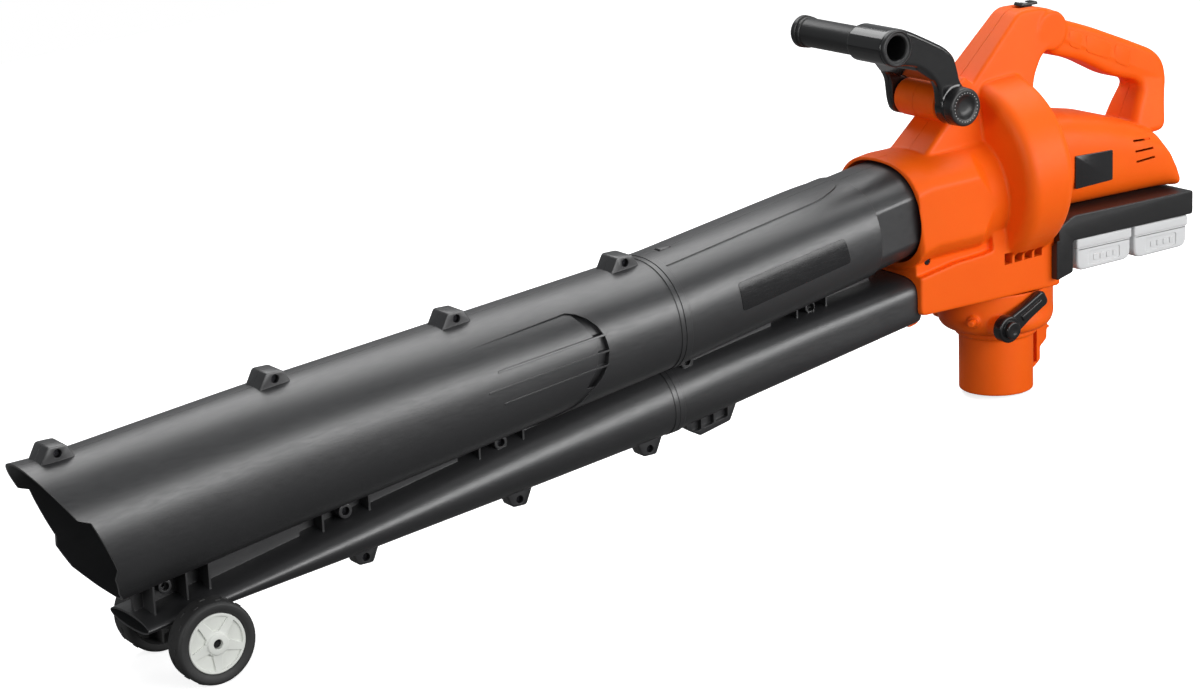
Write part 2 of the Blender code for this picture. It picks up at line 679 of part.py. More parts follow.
def mode_selector():
    """Lever on the left side, keyed to the shaft of the diverter flap."""
    x, z = LEVER_AXIS
    pivot = (x, 0, z)
    tip = Vector((49.0, 26.0)).normalized()
    side = Vector((-tip.y, tip.x))
    corners = [Vector((x, z)) + tip * along + side * off
               for along, off in ((0, 9.5), (48, 6.5), (54, 4), (54, -4), (48, -6.0), (0, -9.5))]
    arm = slab([tuple(c) for c in corners], -60.5, -53, 1.5)
    hub = turned(((0, 10), (2, 12.5), (11, 12.5), (12, 11)), (x, -62.3, z), (0, 1, 0), 24)
    cap = turned(((0, 6.5), (2, 9), (7, 9)), (x, -68, z), (0, 1, 0), 20)
    bore = rod_y(x, z, -60.5, -40, 4.4)
    add("mode_lever", cut(union(hub, arm, cap), bore), "black", pivot=pivot)
    shaft = rod_y(x, z, -60, 53, 4.0)
    flap = slab([(x - 2, z - 2), (x + FLAP_REACH, z - 2), (x + FLAP_REACH, z + 1.5),
                 (x - 2, z + 3)], -FLAP_HALF, FLAP_HALF)
    add("diverter_flap", union(shaft, flap), "black", pivot=pivot)


# ---- auxiliary handle --------------------------------------------------------
YOKE_OUTLINE = [(-108, 311), (-104, 299), (-91, 294), (-76, 298), (-70, 311), (-74, 325),
                (-84, 336), (-86.5, 347), (-91, 362), (-103, 372.5), (-122, 382), (-144, 392.5),
                (-160, 398.5), (-173, 397), (-183, 389), (-185, 377), (-178, 365), (-166, 361),
                (-154, 361), (-135, 357), (-120, 345.5), (-110.5, 334)]


def auxiliary_handle():
    px, pz = YOKE_PIVOT
    bx, bz = BAR_CENTRE
    pivot = (px, 0, pz)
    near = slab(YOKE_OUTLINE, -46, -34, 2)
    far = slab(YOKE_OUTLINE, 30.5, 41, 2)
    hood = slab([p for p in YOKE_OUTLINE if p[1] > 335.5], -44, 39)
    hollow = slab([(-113, 330), (-91, 330), (-93, 354), (-104, 365), (-122, 374), (-130, 367),
                   (-117, 354)], -34, 30.5)
    taper = loft([[Vector((x, y, z)) for x, y in ((-200, 6), (-160, 6), (-108, 44), (-108, 70),
                                                 (-200, 70))] for z in (320, 420)])
    yoke = cut(union(near, far, hood), hollow, taper)
    yoke = cut(yoke, rod_y(bx, bz, -70, 70, BAR_R + GAP, 28), rod_y(px, pz, -60, 60, 4.3))
    add("aux_handle_yoke", yoke, "black", pivot=pivot)

    length = BAR_Y1 - BAR_Y0
    bar = turned(((0, 17), (1, 18.2), (3.4, 18.2), (3.5, BAR_R), (length - 6, BAR_R),
                  (length - 5.9, 16), (length, 16)), (bx, BAR_Y0, bz), (0, 1, 0), 28)
    bar = cut(bar, rod_y(bx, bz, BAR_Y0 - 5, BAR_Y1 + 5, BAR_R - 3, 28))
    add("aux_handle_bar", bar, "black", pivot=(bx, 0, bz))

    knob = turned(((0, 16.5), (2, 18.8), (11, 19.5), (13, 18.5)), (px, -59.5, pz), (0, 1, 0), 32)
    knob = cut(knob, rod_y(px, pz, -64, -57, 12, 24), rod_y(px, pz, -54, -40, 4.3))
    add("clamp_knob", knob, "black", pivot=(px, -50, pz))
    bolt = turned(((0, 4), (95, 4), (95.01, 8), (101, 8)), (px, -53.5, pz), (0, 1, 0), 20)
    add("clamp_bolt", bolt, "steel", pivot=pivot)


# ---- switch and electronics --------------------------------------------------
def switch_group():
    slider = union(slab([(31, 391.2), (54, 391.2), (52, 394.5), (44, 393.2), (36, 393.6),
                         (33, 394.8)], -6, 6),
                   box(38, 48, -3.5, 3.5, 384, 392))
    add("switch_slider", slider, "black", pivot=(43, 0, 391))
    add("switch_body", box(28, 60, -9, 9, 362, 379.5), "black", pivot=(44, 0, 370))
    add("control_board", box(150, 196, -30, 30, 191, 193), "board", pivot=(173, 0, 192))


# ---- fan and motor -----------------------------------------------------------
def drive():
    start = fan_point(0)
    plate = on_fan(box(28, 31, -38, 38, -22, 26))
    plate = union(plate, turned(((25.8, 20), (29, 20)), start, FAN_AXIS, 24))
    plate = cut(plate, rod(start, FAN_AXIS, 60, 9, 20))
    add("motor_mount_plate", plate, "steel")

    bearing = turned(((19, 12.1), (25, 12.1)), start, FAN_AXIS, 24)
    add("front_bearing", cut(bearing, rod(fan_point(-10), FAN_AXIS, 60, SHAFT_R + GAP, 20)), "steel")

    can = turned(((32, 24), (33, 25.5), (96, 25.5), (97, 24)), start, FAN_AXIS, 36)
    can = cut(can, rod(start, FAN_AXIS, 120, SHAFT_R + 1, 20),
              turned(((36, 22), (93, 22)), start, FAN_AXIS, 32))
    add("motor_can", can, "steel")
    cap = turned(((97.5, 24), (109, 24), (111, 21)), start, FAN_AXIS, 32)
    cap = cut(cap, rod(start, FAN_AXIS, 140, SHAFT_R + GAP, 20))
    add("motor_end_cap", cap, "black")
    shaft = turned(((-47, 3.4), (-46, SHAFT_R), (105, SHAFT_R)), start, FAN_AXIS, 20)
    rotor = turned(((42, 20), (86, 20)), start, FAN_AXIS, 24)
    add("motor_rotor", union(shaft, rotor), "steel", pivot=start)
    impeller(start)


def impeller(start):
    bore = rod(fan_point(-80), FAN_AXIS, 160, SHAFT_R + GAP, 20)
    disc = turned(((10, IMPELLER_R), (13, IMPELLER_R)), start, FAN_AXIS, 40)
    hub = turned(((-26, 9), (-24, 12), (11, 12)), start, FAN_AXIS, 24)
    wheel = union(disc, hub)
    blades = 8
    for k in range(blades):
        blade = slab([(-22, 9), (-22, 40), (-18, IMPELLER_R - 2), (10.6, IMPELLER_R - 2), (10.6, 9)],
                     -1.4, 1.4)
        wheel = union(wheel, on_fan(blade, 2 * math.pi * k / blades + 0.2))
    add("impeller", cut(wheel, bore), "black", pivot=start)

    nut = turned(((-44, 7), (-38, 7)), start, FAN_AXIS, 6)
    nut = cut(nut, rod(fan_point(-80), FAN_AXIS, 160, SHAFT_R + GAP, 20))
    add("impeller_nut", nut, "steel", pivot=start)
    cutter = slab([(-34.5, -44), (-32, -44), (-32, 44), (-34.5, 44)], -8, 8)
    cutter = cut(cutter, rod((-60, 0, 0), (1, 0, 0), 60, SHAFT_R + GAP, 20))
    add("shredder_blade", on_fan(cutter, 0.6), "steel", pivot=start)


# ---- batteries ---------------------------------------------------------------
def battery_tray():
    outline = rounded([(29, 118), (51, 123), (51, 156), (219, 157), (219, 182), (52, 182),
                       (29, 171)], [2, 2, 3, 2, 3, 2, 4], 2)
    tray = slab(outline, -61, 61, 2)
    for x in PACK_X:
        tray = cut(tray, box(x + 6, x + PACK_W - 6, -55, 70, 150, 171))
    tray = cut(tray, box(0, 42.4, -52.4, 52.4, 100, 190), scroll(-1.6))
    add("battery_tray", tray, "black")
    for word, x in zip(("front", "rear"), PACK_X):
        block = box(x + 22, x + PACK_W - 22, -54.7, -47, 158, 168)
        add(f"{word}_terminal_block", block, "board", pivot=(x + PACK_W / 2, -50, 163))


def battery_packs():
    y0, y1 = -58.0, -58.0 + PACK_LEN
    for word, x in zip(("front", "rear"), PACK_X):
        outline = rounded([(x, 121), (x + PACK_W, 123), (x + PACK_W, PACK_TOP_Z), (x, PACK_TOP_Z)],
                          [9, 9, 3, 3], 3)
        pack = slab(outline, y0, y1, 3)
        rail = box(x + 9, x + PACK_W - 9, -44, y1 - 4, 151, 167)
        pack = cut(union(pack, rail), box(x + 26, x + PACK_W - 26, y1 - 6, y1 + 5, 135, 145))
        add(f"{word}_battery_pack", pack, "pack", pivot=(x + PACK_W / 2, 0, 140))
        button = box(x + 26.4, x + PACK_W - 26.4, y1 - 2.6, y1 + 1.2, 135.4, 144.6)
        add(f"{word}_pack_release", button, "black", pivot=(x + PACK_W / 2, y1, 140))


def badge():
    """Blank dark nameplate on the left of the motor hood."""
    outline = rounded([(63, 206), (114, 208), (114, 239), (63, 240)], 2, 1)
    plate = slab(outline, -51.4, -50.6)
    add("motor_badge_plate", plate, "black", pivot=(90, -51, 221))


# ---- assembly ----------------------------------------------------------------
def stand_on_floor(machine):
    """Pitch and lift the tool so that the tyres and the outlet's rim share z = 0."""
    reach_x = SPIGOT_R - WHEEL_X
    reach_z = -WHEEL_Z
    pitch = math.asin(TYRE_R / math.hypot(reach_x, reach_z)) + math.atan2(reach_z, reach_x)
    lift = SPIGOT_R * math.sin(pitch)
    machine.rotation_euler = (0, pitch, 0)
    machine.location = (0, 0, lift * MM)


def centre_over_origin(machine):
    """Shift the tool so that its bounding box is centred on x = 0 and y = 0."""
    bpy.context.view_layer.update()
    corners = [piece.matrix_world @ vertex.co for piece in machine.children
               for vertex in piece.data.vertices]
    for axis in (0, 1):
        values = [corner[axis] for corner in corners]
        machine.location[axis] -= (min(values) + max(values)) / 2
    bpy.context.view_layer.update()


def main():
    for old in list(bpy.data.objects):
        bpy.data.objects.remove(old)
    machine = bpy.data.objects.new("machine", None)
    bpy.context.scene.collection.objects.link(machine)
    stand_on_floor(machine)
    front_tube()
    rear_tube()
    tube_latch()
    shell_screws()
    wheels()
    main_body()
    bag_outlet()
    bag_catch()
    mode_selector()
    auxiliary_handle()
    switch_group()
    drive()
    battery_tray()
    battery_packs()
    badge()
    centre_over_origin(machine)


main()
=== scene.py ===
"""Looks of the cordless leaf vacuum mulcher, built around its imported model.

Shapes are drawn in the tool frame, in millimetres: the origin is the centre of the bag
outlet's lower rim, +Z runs up along the outlet, -X points to the nozzle, -Y is the left.
"""
import json
import math

import bmesh
import bpy
from mathutils import Matrix, Vector


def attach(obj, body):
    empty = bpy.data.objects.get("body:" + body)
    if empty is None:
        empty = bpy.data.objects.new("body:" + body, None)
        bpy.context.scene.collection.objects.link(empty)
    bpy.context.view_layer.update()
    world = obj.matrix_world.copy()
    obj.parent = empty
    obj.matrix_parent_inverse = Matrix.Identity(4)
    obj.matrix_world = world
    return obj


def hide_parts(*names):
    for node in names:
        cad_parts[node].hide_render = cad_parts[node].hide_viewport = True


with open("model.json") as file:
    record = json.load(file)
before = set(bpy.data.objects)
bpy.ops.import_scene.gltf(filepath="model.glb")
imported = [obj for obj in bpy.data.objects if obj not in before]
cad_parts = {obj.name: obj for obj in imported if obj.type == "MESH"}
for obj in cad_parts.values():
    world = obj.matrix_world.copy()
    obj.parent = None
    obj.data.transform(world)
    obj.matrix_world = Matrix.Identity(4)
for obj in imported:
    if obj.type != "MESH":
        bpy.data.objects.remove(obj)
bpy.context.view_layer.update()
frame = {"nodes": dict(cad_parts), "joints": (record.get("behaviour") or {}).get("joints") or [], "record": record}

MM = 0.001
GAP = 0.3                      # clearance between touching pieces
WALL = 2.6                     # moulded wall thickness
FINE = 128                     # segments of a full turn on large round shapes
SMALL = 40                     # segments on screws, pins and bosses
SEAM = 0.2                     # half of the gap between left and right shells

# ---- driving dimensions (mm) ----
NOZZLE_TIP_X = -1083.5
TUBE_JOINT_X, BLOW_JOINT_X, TUBE_END_X = -434.0, -423.5, -138.0
TUBE_TILT = 7.0
WHEEL_X, WHEEL_Z = -939.0, -31.0
TYRE_R, HUB_R, WHEEL_W, WHEEL_OUT_Y, AXLE_R = 37.5, 27.4, 23.0, 64.0, 4.0
FAN_TILT = math.radians(5.0)
FAN_AXIS_Z = 217.5
SCROLL_X, SCROLL_Z, SCROLL_R, SCROLL_HALF = -6.0, 233.5, 97.0, 30.0
SPIGOT_R, SPIGOT_WALL = 38.0, 2.6
BOWL_R, BOWL_TOP_Z, BOWL_LOW_Z, BOWL_WIDTH_SHARE = 64.0, 109.0, 60.0, 0.8
YOKE_PIVOT = (-89.0, 313.0)
BAR_CENTRE = (-166.0, 380.0)
BAR_Y0, BAR_Y1, BAR_R = -50.0, 97.0, 14.5
LEVER_AXIS = (-35.0, 79.0)
PACK_W, PACK_LEN, PACK_TOP_Z, PACK_X = 76.0, 116.0, 155.6, (59.0, 139.0)
LUG_X, LUG_HALF = (-1048.0, -840.0, -653.0, -467.0), 13.0
LOW_LUG_X, LOW_LUG_HALF = (-758.0, -592.0, -443.0), 8.0
WEB_BOSS_X, WEB_BOSS_HALF = (-781.0, -615.0), 17.0
PLENUM_SCREW = (-128.0, 162.5)
LATCH_X = -415.0
NOSE_BOSS = (-962.0, 14.0, 6.5)           # x, z, radius
FAN_AXIS = Vector((math.cos(FAN_TILT), 0.0, math.sin(FAN_TILT)))

# x, centre height, half width, half height, squareness. Against the CAD model the suction
# tube's underside is up to 9 mm higher and its nozzle's top 5 mm lower, and the blow
# tube's top is up to 6 mm higher.
SUCTION = ((-1100, 70.0, 66.5, 74.0, 2.1), (-1041, 75.0, 65.5, 70.0, 2.1),
           (-845, 103.5, 63.0, 65.5, 2.2), (TUBE_JOINT_X, 157.5, 60.0, 54.5, 2.2),
           (TUBE_END_X, 211.5, 60.0, 49.5, 2.4))
BLOWER = ((-990, -15.5, 37.5, 7.5, 2.0), (-940, -8.0, 37.0, 10.5, 2.0),
          (-800, 13.0, 35.0, 19.0, 2.0), (-600, 44.0, 32.5, 28.5, 2.0),
          (BLOW_JOINT_X, 70.5, 31.0, 34.0, 2.0), (-330, 88.0, 36.0, 31.0, 2.6),
          (TUBE_END_X, 122.0, 45.0, 25.0, 4.0))

# ---- tool frame to world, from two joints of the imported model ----
JOINTS = {joint["name"]: joint for joint in frame["joints"]}
backwards = Vector(JOINTS["switch_slide"]["axis"])
TURN = Matrix.Rotation(math.atan2(-backwards.z, backwards.x), 4, "Y")
wheel_centre = Vector(JOINTS["left_wheel_spin"]["pos_m"])
ORIGIN = wheel_centre - (TURN @ Vector((WHEEL_X, 0, WHEEL_Z))) * MM
MACHINE = Matrix.Translation(ORIGIN) @ TURN @ Matrix.Scale(MM, 4)


# ---- mesh tools ----
def to_mesh(bm):
    bmesh.ops.recalc_face_normals(bm, faces=bm.faces)
    mesh = bpy.data.meshes.new("shape")
    bm.to_mesh(mesh)
    bm.free()
    return mesh


def loft(rings):
    """Closed solid through rings of equal point count, with flat end caps."""
    bm = bmesh.new()
    rows = [[bm.verts.new(point) for point in ring] for ring in rings]
    count = len(rows[0])
    for low, high in zip(rows, rows[1:]):
        for i in range(count):
            j = (i + 1) % count
            bm.faces.new((low[i], low[j], high[j], high[i]))
    bm.faces.new(rows[0])
    bm.faces.new(rows[-1])
    return to_mesh(bm)


def ring(x, z, half_y, half_z, tilt=0.0, power=2.0, count=FINE):
    """Superellipse across X, leaning back by tilt degrees."""
    points = []
    lean = math.radians(tilt)
    for i in range(count):
        angle = 2 * math.pi * (i + 0.5) / count
        across = math.copysign(abs(math.cos(angle)) ** (2 / power), math.cos(angle))
        up = math.copysign(abs(math.sin(angle)) ** (2 / power), math.sin(angle))
        rise = half_z * up
        points.append(Vector((x - rise * math.sin(lean), half_y * across,
                              z + rise * math.cos(lean))))
    return points


def turned(profile, start, axis, count=FINE):
    """Solid of revolution: profile holds (distance along axis, radius)."""
    axis = Vector(axis).normalized()
    side = axis.orthogonal().normalized()
    other = axis.cross(side)
    rings = []
    for along, radius in profile:
        centre = Vector(start) + axis * along
        rings.append([centre + (side * math.cos(a) + other * math.sin(a)) * radius
                      for a in (2 * math.pi * (i + 0.5) / count for i in range(count))])
    return loft(rings)


def arc(centre, radius, start, stop, steps=6):
    """Points of a round stretch in a profile, angles in degrees."""
    turns = (math.radians(start + (stop - start) * i / steps) for i in range(steps + 1))
    return [(centre[0] + radius * math.cos(t), centre[1] + radius * math.sin(t)) for t in turns]


def soft_profile(length, radius, edge, steps=5):
    """Profile of a round bar with both end edges rounded."""
    return (arc((edge, radius - edge), edge, 180, 90, steps)
            + arc((length - edge, radius - edge), edge, 90, 0, steps))


def rod(start, axis, length, radius, count=SMALL, edge=0.0):
    profile = soft_profile(length, radius, edge) if edge else ((0, radius), (length, radius))
    return turned(profile, start, axis, count)


def rod_y(x, z, y0, y1, radius, count=SMALL, edge=0.0):
    return rod((x, y0, z), (0, 1, 0), y1 - y0, radius, count, edge)


def box(x0, x1, y0, y1, z0, z1):
    corners = ((x0, y0), (x1, y0), (x1, y1), (x0, y1))
    return loft([[Vector((x, y, z)) for x, y in corners] for z in (z0, z1)])


def inset(outline, amount):
    """The outline moved inwards by amount (outwards when negative)."""
    if not amount:
        return list(outline)
    count = len(outline)
    area = sum(outline[i - 1][0] * outline[i][1] - outline[i][0] * outline[i - 1][1]
               for i in range(count))
    turn = 1 if area > 0 else -1
    moved = []
    for i in range(count):
        before, here, after = (Vector(outline[k % count]) for k in (i - 1, i, i + 1))
        first = (here - before).normalized()
        second = (after - here).normalized()
        normal_a = Vector((-first.y, first.x)) * turn
        normal_b = Vector((-second.y, second.x)) * turn
        bisector = (normal_a + normal_b).normalized()
        moved.append(tuple(here + bisector * amount / max(bisector.dot(normal_a), 0.35)))
    return moved


def slab(outline, y0, y1, edge=0.0, steps=4):
    """Outline of (x, z) points carried across Y, its long edges rounded off."""
    levels = [(y0, 0.0), (y1, 0.0)]
    if edge:
        turns = [math.pi / 2 * i / steps for i in range(steps + 1)]
        near = [(y0 + edge * (1 - math.sin(t)), edge * (1 - math.cos(t))) for t in reversed(turns)]
        levels = near + [(y0 + y1 - y, pull) for y, pull in reversed(near)]
    return loft([[Vector((x, y, z)) for x, z in inset(outline, pull)] for y, pull in levels])


def rounded(corners, radius, steps=6):
    """Outline with each corner replaced by a short arc; radius may vary per corner."""
    count = len(corners)
    points = []
    for i in range(count):
        here = Vector(corners[i])
        reach = radius[i] if isinstance(radius, (list, tuple)) else radius
        to_before = Vector(corners[i - 1]) - here
        to_after = Vector(corners[(i + 1) % count]) - here
        reach = min(reach, to_before.length * 0.48, to_after.length * 0.48)
        if reach <= 0:
            points.append(tuple(here))
            continue
        start = here + to_before.normalized() * reach
        end = here + to_after.normalized() * reach
        for k in range(steps + 1):
            t = k / steps
            points.append(tuple(start * (1 - t) ** 2 + here * 2 * t * (1 - t) + end * t ** 2))
    return points


def modified(mesh, kind, **settings):
    """The mesh after one modifier."""
    holder = bpy.data.objects.new("holder", mesh)
    bpy.context.scene.collection.objects.link(holder)
    step = holder.modifiers.new("step", kind)
    for name, value in settings.items():
        setattr(step, name, value)
    bpy.context.view_layer.update()
    graph = bpy.context.evaluated_depsgraph_get()
    result = bpy.data.meshes.new_from_object(holder.evaluated_get(graph))
    bpy.data.objects.remove(holder)
    bpy.data.meshes.remove(mesh)
    return result


def combine(operation, base, *tools):
    """Boolean of base with each tool mesh in turn; the tools are used up."""
    for tool in tools:
        cutter = bpy.data.objects.new("cutter", tool)
        bpy.context.scene.collection.objects.link(cutter)
        base = modified(base, "BOOLEAN", operation=operation, solver="MANIFOLD", object=cutter)
        bpy.data.objects.remove(cutter)
        bpy.data.meshes.remove(tool)
    return base


def union(base, *tools):
    return combine("UNION", base, *tools)


def cut(base, *tools):
    return combine("DIFFERENCE", base, *tools)


def common(base, *tools):
    return combine("INTERSECT", base, *tools)


def moulded(mesh, voxel, rounds):
    """One even skin, relaxed so that every edge and inner corner gets a moulded radius."""
    mesh = modified(mesh, "REMESH", mode="VOXEL", voxel_size=voxel)
    return modified(mesh, "SMOOTH", factor=0.5, iterations=rounds)


def half(mesh, side):
    """The part of the mesh on one side of the seam: side -1 is left, +1 is right."""
    low, high = (-300, -SEAM) if side < 0 else (SEAM, 300)
    return common(mesh, box(-1300, 500, low, high, -200, 500))


def place(name, mesh, body, paint, stands_for=(), sharp=32):
    """Put a finished mesh into the world as one piece that rides on a body."""
    mesh.name = name
    mesh.transform(MACHINE)
    mesh.materials.clear()
    mesh.materials.append(paint)
    mesh.shade_smooth()
    mesh.set_sharp_from_angle(angle=math.radians(sharp))
    piece = bpy.data.objects.new(name, mesh)
    bpy.context.scene.collection.objects.link(piece)
    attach(piece, body)
    if stands_for:
        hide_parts(*stands_for)
    return piece


def between(x, table):
    """Interpolation in rows of (x, value, value, ...), with the kinks averaged out."""
    def straight(at):
        if at <= table[0][0]:
            low, high = table[0], table[1]
        elif at >= table[-1][0]:
            low, high = table[-2], table[-1]
        else:
            low, high = next((a, b) for a, b in zip(table, table[1:]) if a[0] <= at <= b[0])
        share = (at - low[0]) / (high[0] - low[0])
        return [a + (b - a) * share for a, b in zip(low[1:], high[1:])]
    reach = 24.0
    samples = [straight(x + reach * k / 2) for k in (-2, -1, 0, 1, 2)]
    return [sum(column) / len(samples) for column in zip(*samples)]


def fan_point(x):
    return Vector((x, 0, FAN_AXIS_Z + x * math.tan(FAN_TILT)))


# ---- tubes ----
def duct(table, x0, x1, grow, spacing=16.0, count=FINE, flat=None):
    """Tube from x0 to x1, grown outwards by grow (a length, or a pair for its two ends);
    flat clips its two cheeks."""
    steps = max(2, round((x1 - x0) / spacing))
    start_grow, end_grow = grow if isinstance(grow, tuple) else (grow, grow)
    rings = []
    for k in range(steps + 1):
        x = x0 + (x1 - x0) * k / steps
        z, half_y, half_z, power = between(x, table)
        extra = start_grow + (end_grow - start_grow) * k / steps
        points = ring(x, z, half_y + extra, half_z + extra, TUBE_TILT, power, count)
        if flat:
            for point in points:
                point.y = max(-flat, min(flat, point.y))
        rings.append(points)
    return loft(rings)


def tube_top(x):
    z, _, half_z, _ = between(x, SUCTION)
    return z + half_z


def tube_bottom(x):
    z, _, half_z, _ = between(x, BLOWER)
    return z - half_z


def spacer(x0, x1, half_y, edge=0.0):
    """Block that joins the suction tube to the blow tube between x0 and x1."""
    low = [(x, between(x, BLOWER)[0]) for x in (x0, x1)]
    high = [(x, between(x, SUCTION)[0]) for x in (x1, x0)]
    return slab(low + high, -half_y, half_y, edge)


def ledge(x0, x1, half_y):
    """Low step along the underside of the suction tube."""
    rows = []
    for x in (x0, x1):
        z, tube_half_y, half_z, _ = between(x, SUCTION)
        rows.append((x, z, z - half_z * math.sqrt(1 - (half_y / tube_half_y) ** 2) - 2.5))
    (near, near_z, near_low), (far, far_z, far_low) = rows
    return slab([(near, near_low), (far, far_low), (far, far_z), (near, near_z)], -half_y, half_y, 0.8, 2)


def web_boss_z(x):
    upper_z, upper_y, upper_h, _ = between(x, SUCTION)
    lower_z, lower_y, lower_h, _ = between(x, BLOWER)
    above = upper_z - upper_h * math.sqrt(1 - (WEB_BOSS_HALF / upper_y) ** 2)
    below = lower_z + lower_h * math.sqrt(1 - (WEB_BOSS_HALF / lower_y) ** 2)
    return (above + below) / 2


def top_lug(x):
    base = tube_top(x) - 8
    outline = rounded([(x - 19, base), (x + 21, base), (x + 8.5, base + 20), (x - 8.5, base + 20)],
                      [0, 0, 2.5, 2.5], 3)
    return slab(outline, -LUG_HALF, LUG_HALF, 1.0, 2)


def low_lug(x):
    base = tube_bottom(x) + 6
    outline = rounded([(x - 17, base), (x - 7.5, base - 20), (x + 7.5, base - 20), (x + 17, base + 2)],
                      [0, 2.5, 2.5, 0], 3)
    return slab(outline, -LOW_LUG_HALF, LOW_LUG_HALF, 1.0, 2)


def nozzle_rim():
    """Everything ahead of the stepped, slanting mouth of the suction tube."""
    edge = [(NOZZLE_TIP_X, 149), (-1079, 140), (-1066, 120), (-1056, 105), (-1045, 101),
            (-1024.5, 54.5), (-1026, 46), (-1018, 28), (-1006, 14), (-998, 6), (-990, 0)]
    outline = [(-1200, 220), (NOZZLE_TIP_X, 220)] + edge + [(-990, -60), (-1200, -60)]
    return slab(outline, -100, 100)


SCOOP_STEP = [(-555, 187), (-546, 185), (-537, 180.5), (-529.5, 173.5), (-523.5, 163), (-520.5, 150),
              (-522.5, 136), (-527.5, 125), (-534, 116)]
SCOOP_EDGE = [(-543, 116), (-538.5, 126), (-533.5, 137), (-532, 149), (-533.5, 161), (-540, 173),
              (-550, 184.5)]


def scoop(shell):
    """Thumb scoop on the left flank: a shallow ramp, a crescent step and three ribs."""
    inner = common(duct(SUCTION, -600, -500, -1.5), box(-570, -510, -80, -15, 95, 205))
    shell = union(shell, cut(inner, duct(SUCTION, -600, -500, -9.0)))
    ramp = slab([(-700, 66), (-600, 76), (-548, 97)] + SCOOP_STEP[::-1] + [(-700, 168)], -90, -10)
    shell = cut(shell, cut(ramp, duct(SUCTION, -712, -488, (0.3, -1.9), 8.0)))
    crescent = slab(SCOOP_STEP + SCOOP_EDGE, -90, -10)
    shell = cut(shell, cut(crescent, duct(SUCTION, -600, -500, -5.6)))
    skin = duct(SUCTION, -712, -488, 0.1, 8.0)
    for x0, z0, x1, z1 in ((-640, 151.5, -521, 164.8), (-652, 134.5, -519, 149.8),
                           (-636, 121.5, -521, 135.9)):
        rib = slab([(x0, z0 - 0.9), (x1, z1 - 0.9), (x1, z1 + 0.9), (x0, z0 + 0.9)], -70, -50)
        shell = union(shell, common(rib, skin.copy()))
    bpy.data.meshes.remove(skin)
    return shell


def front_tube():
    outer = union(duct(SUCTION, -1100, TUBE_JOINT_X - GAP, 0),
                  duct(BLOWER, -990, BLOW_JOINT_X - GAP, 0))
    outer = union(outer, duct(SUCTION, TUBE_JOINT_X - 5, TUBE_JOINT_X - GAP, 0.8),
                  duct(BLOWER, BLOW_JOINT_X - 5, BLOW_JOINT_X - GAP, 0.8))
    outer = union(outer, spacer(-986, TUBE_JOINT_X - 8, 2.5))
    for x0, x1 in ((-921, -824), (-756, -657), (-592, -470)):
        outer = union(outer, spacer(x0, x1, 9, 1.0), ledge(x0, x1, 23))
    for x in (-976, -944, -922):
        outer = union(outer, spacer(x - 1.0, x + 1.0, 23))
    for x in WEB_BOSS_X:
        for away in (-24, 24):
            outer = union(outer, spacer(x + away - 1.0, x + away + 1.0, 18))
    for x in LUG_X:
        outer = union(outer, top_lug(x))
    for x in LOW_LUG_X:
        outer = union(outer, low_lug(x))
    bosses = [(x, web_boss_z(x), 7.0) for x in WEB_BOSS_X] + [NOSE_BOSS]
    for x, z, radius in bosses:
        outer = union(outer, rod_y(x, z, -WEB_BOSS_HALF, WEB_BOSS_HALF, radius, edge=0.8))
    bracket = rounded([(WHEEL_X - 24, -10), (WHEEL_X - 9, WHEEL_Z - 8), (WHEEL_X + 9, WHEEL_Z - 8),
                       (WHEEL_X + 30, -6)], [0, 6, 6, 0], 4)
    outer = union(outer, slab(bracket, -34, 34, 1.2))
    outer = union(outer, duct(SUCTION, TUBE_JOINT_X - 8, TUBE_JOINT_X + 26, -WALL - GAP),
                  duct(SUCTION, TUBE_JOINT_X - 8, TUBE_JOINT_X - 2, -WALL / 2))
    shell = cut(outer, duct(SUCTION, -1112, TUBE_JOINT_X - 10, -WALL),
                duct(SUCTION, TUBE_JOINT_X - 12, TUBE_JOINT_X + 40, -2 * WALL - GAP),
                duct(BLOWER, -1010, BLOW_JOINT_X + 10, -2.0), nozzle_rim())
    holes = [(x, tube_top(x) + 5.5, LUG_HALF) for x in LUG_X]
    holes += [(x, tube_bottom(x) - 7.5, LOW_LUG_HALF) for x in LOW_LUG_X]
    holes += [(x, z, WEB_BOSS_HALF) for x, z, _ in bosses]
    for x, z, reach in holes:
        shell = cut(shell, rod_y(x, z, -reach - 5, -reach + 6, 3.9), rod_y(x, z, -30, 30, 2.4))
    shell = cut(shell, rod_y(WHEEL_X, WHEEL_Z, -70, 70, AXLE_R + GAP))
    latch_z = tube_top(LATCH_X)
    shell = cut(shell, box(LATCH_X - 7.6, LATCH_X + 7.6, -5.8, 5.8, latch_z - 10, latch_z + 10))
    shell = scoop(shell)
    for word, side in (("left", -1), ("right", 1)):
        place(f"front_tube_{word}_skin", half(shell.copy(), side), "front_tube", CHARCOAL,
              [f"front_tube_{word}_shell"])


def hook_bracket():
    """Hanging bracket below the blow tube, with three pockets in its left face."""
    outline = rounded([(-402, 58), (-334, 72), (-341, 50), (-348, 36), (-384, 28), (-400, 38)], 1.5, 3)
    plate = slab(outline, -9, 9, 0.8, 2)
    for x0, x1 in ((-394, -383), (-380.5, -368), (-365.5, -351)):
        low0, low1 = 33 + (x0 + 390) * 0.2, 33 + (x1 + 390) * 0.2
        pocket = rounded([(x0, low0), (x1, low1), (x1, 60), (x0, 55)], 1.2, 2)
        plate = cut(plate, slab(pocket, -14, -3.5))
    return plate


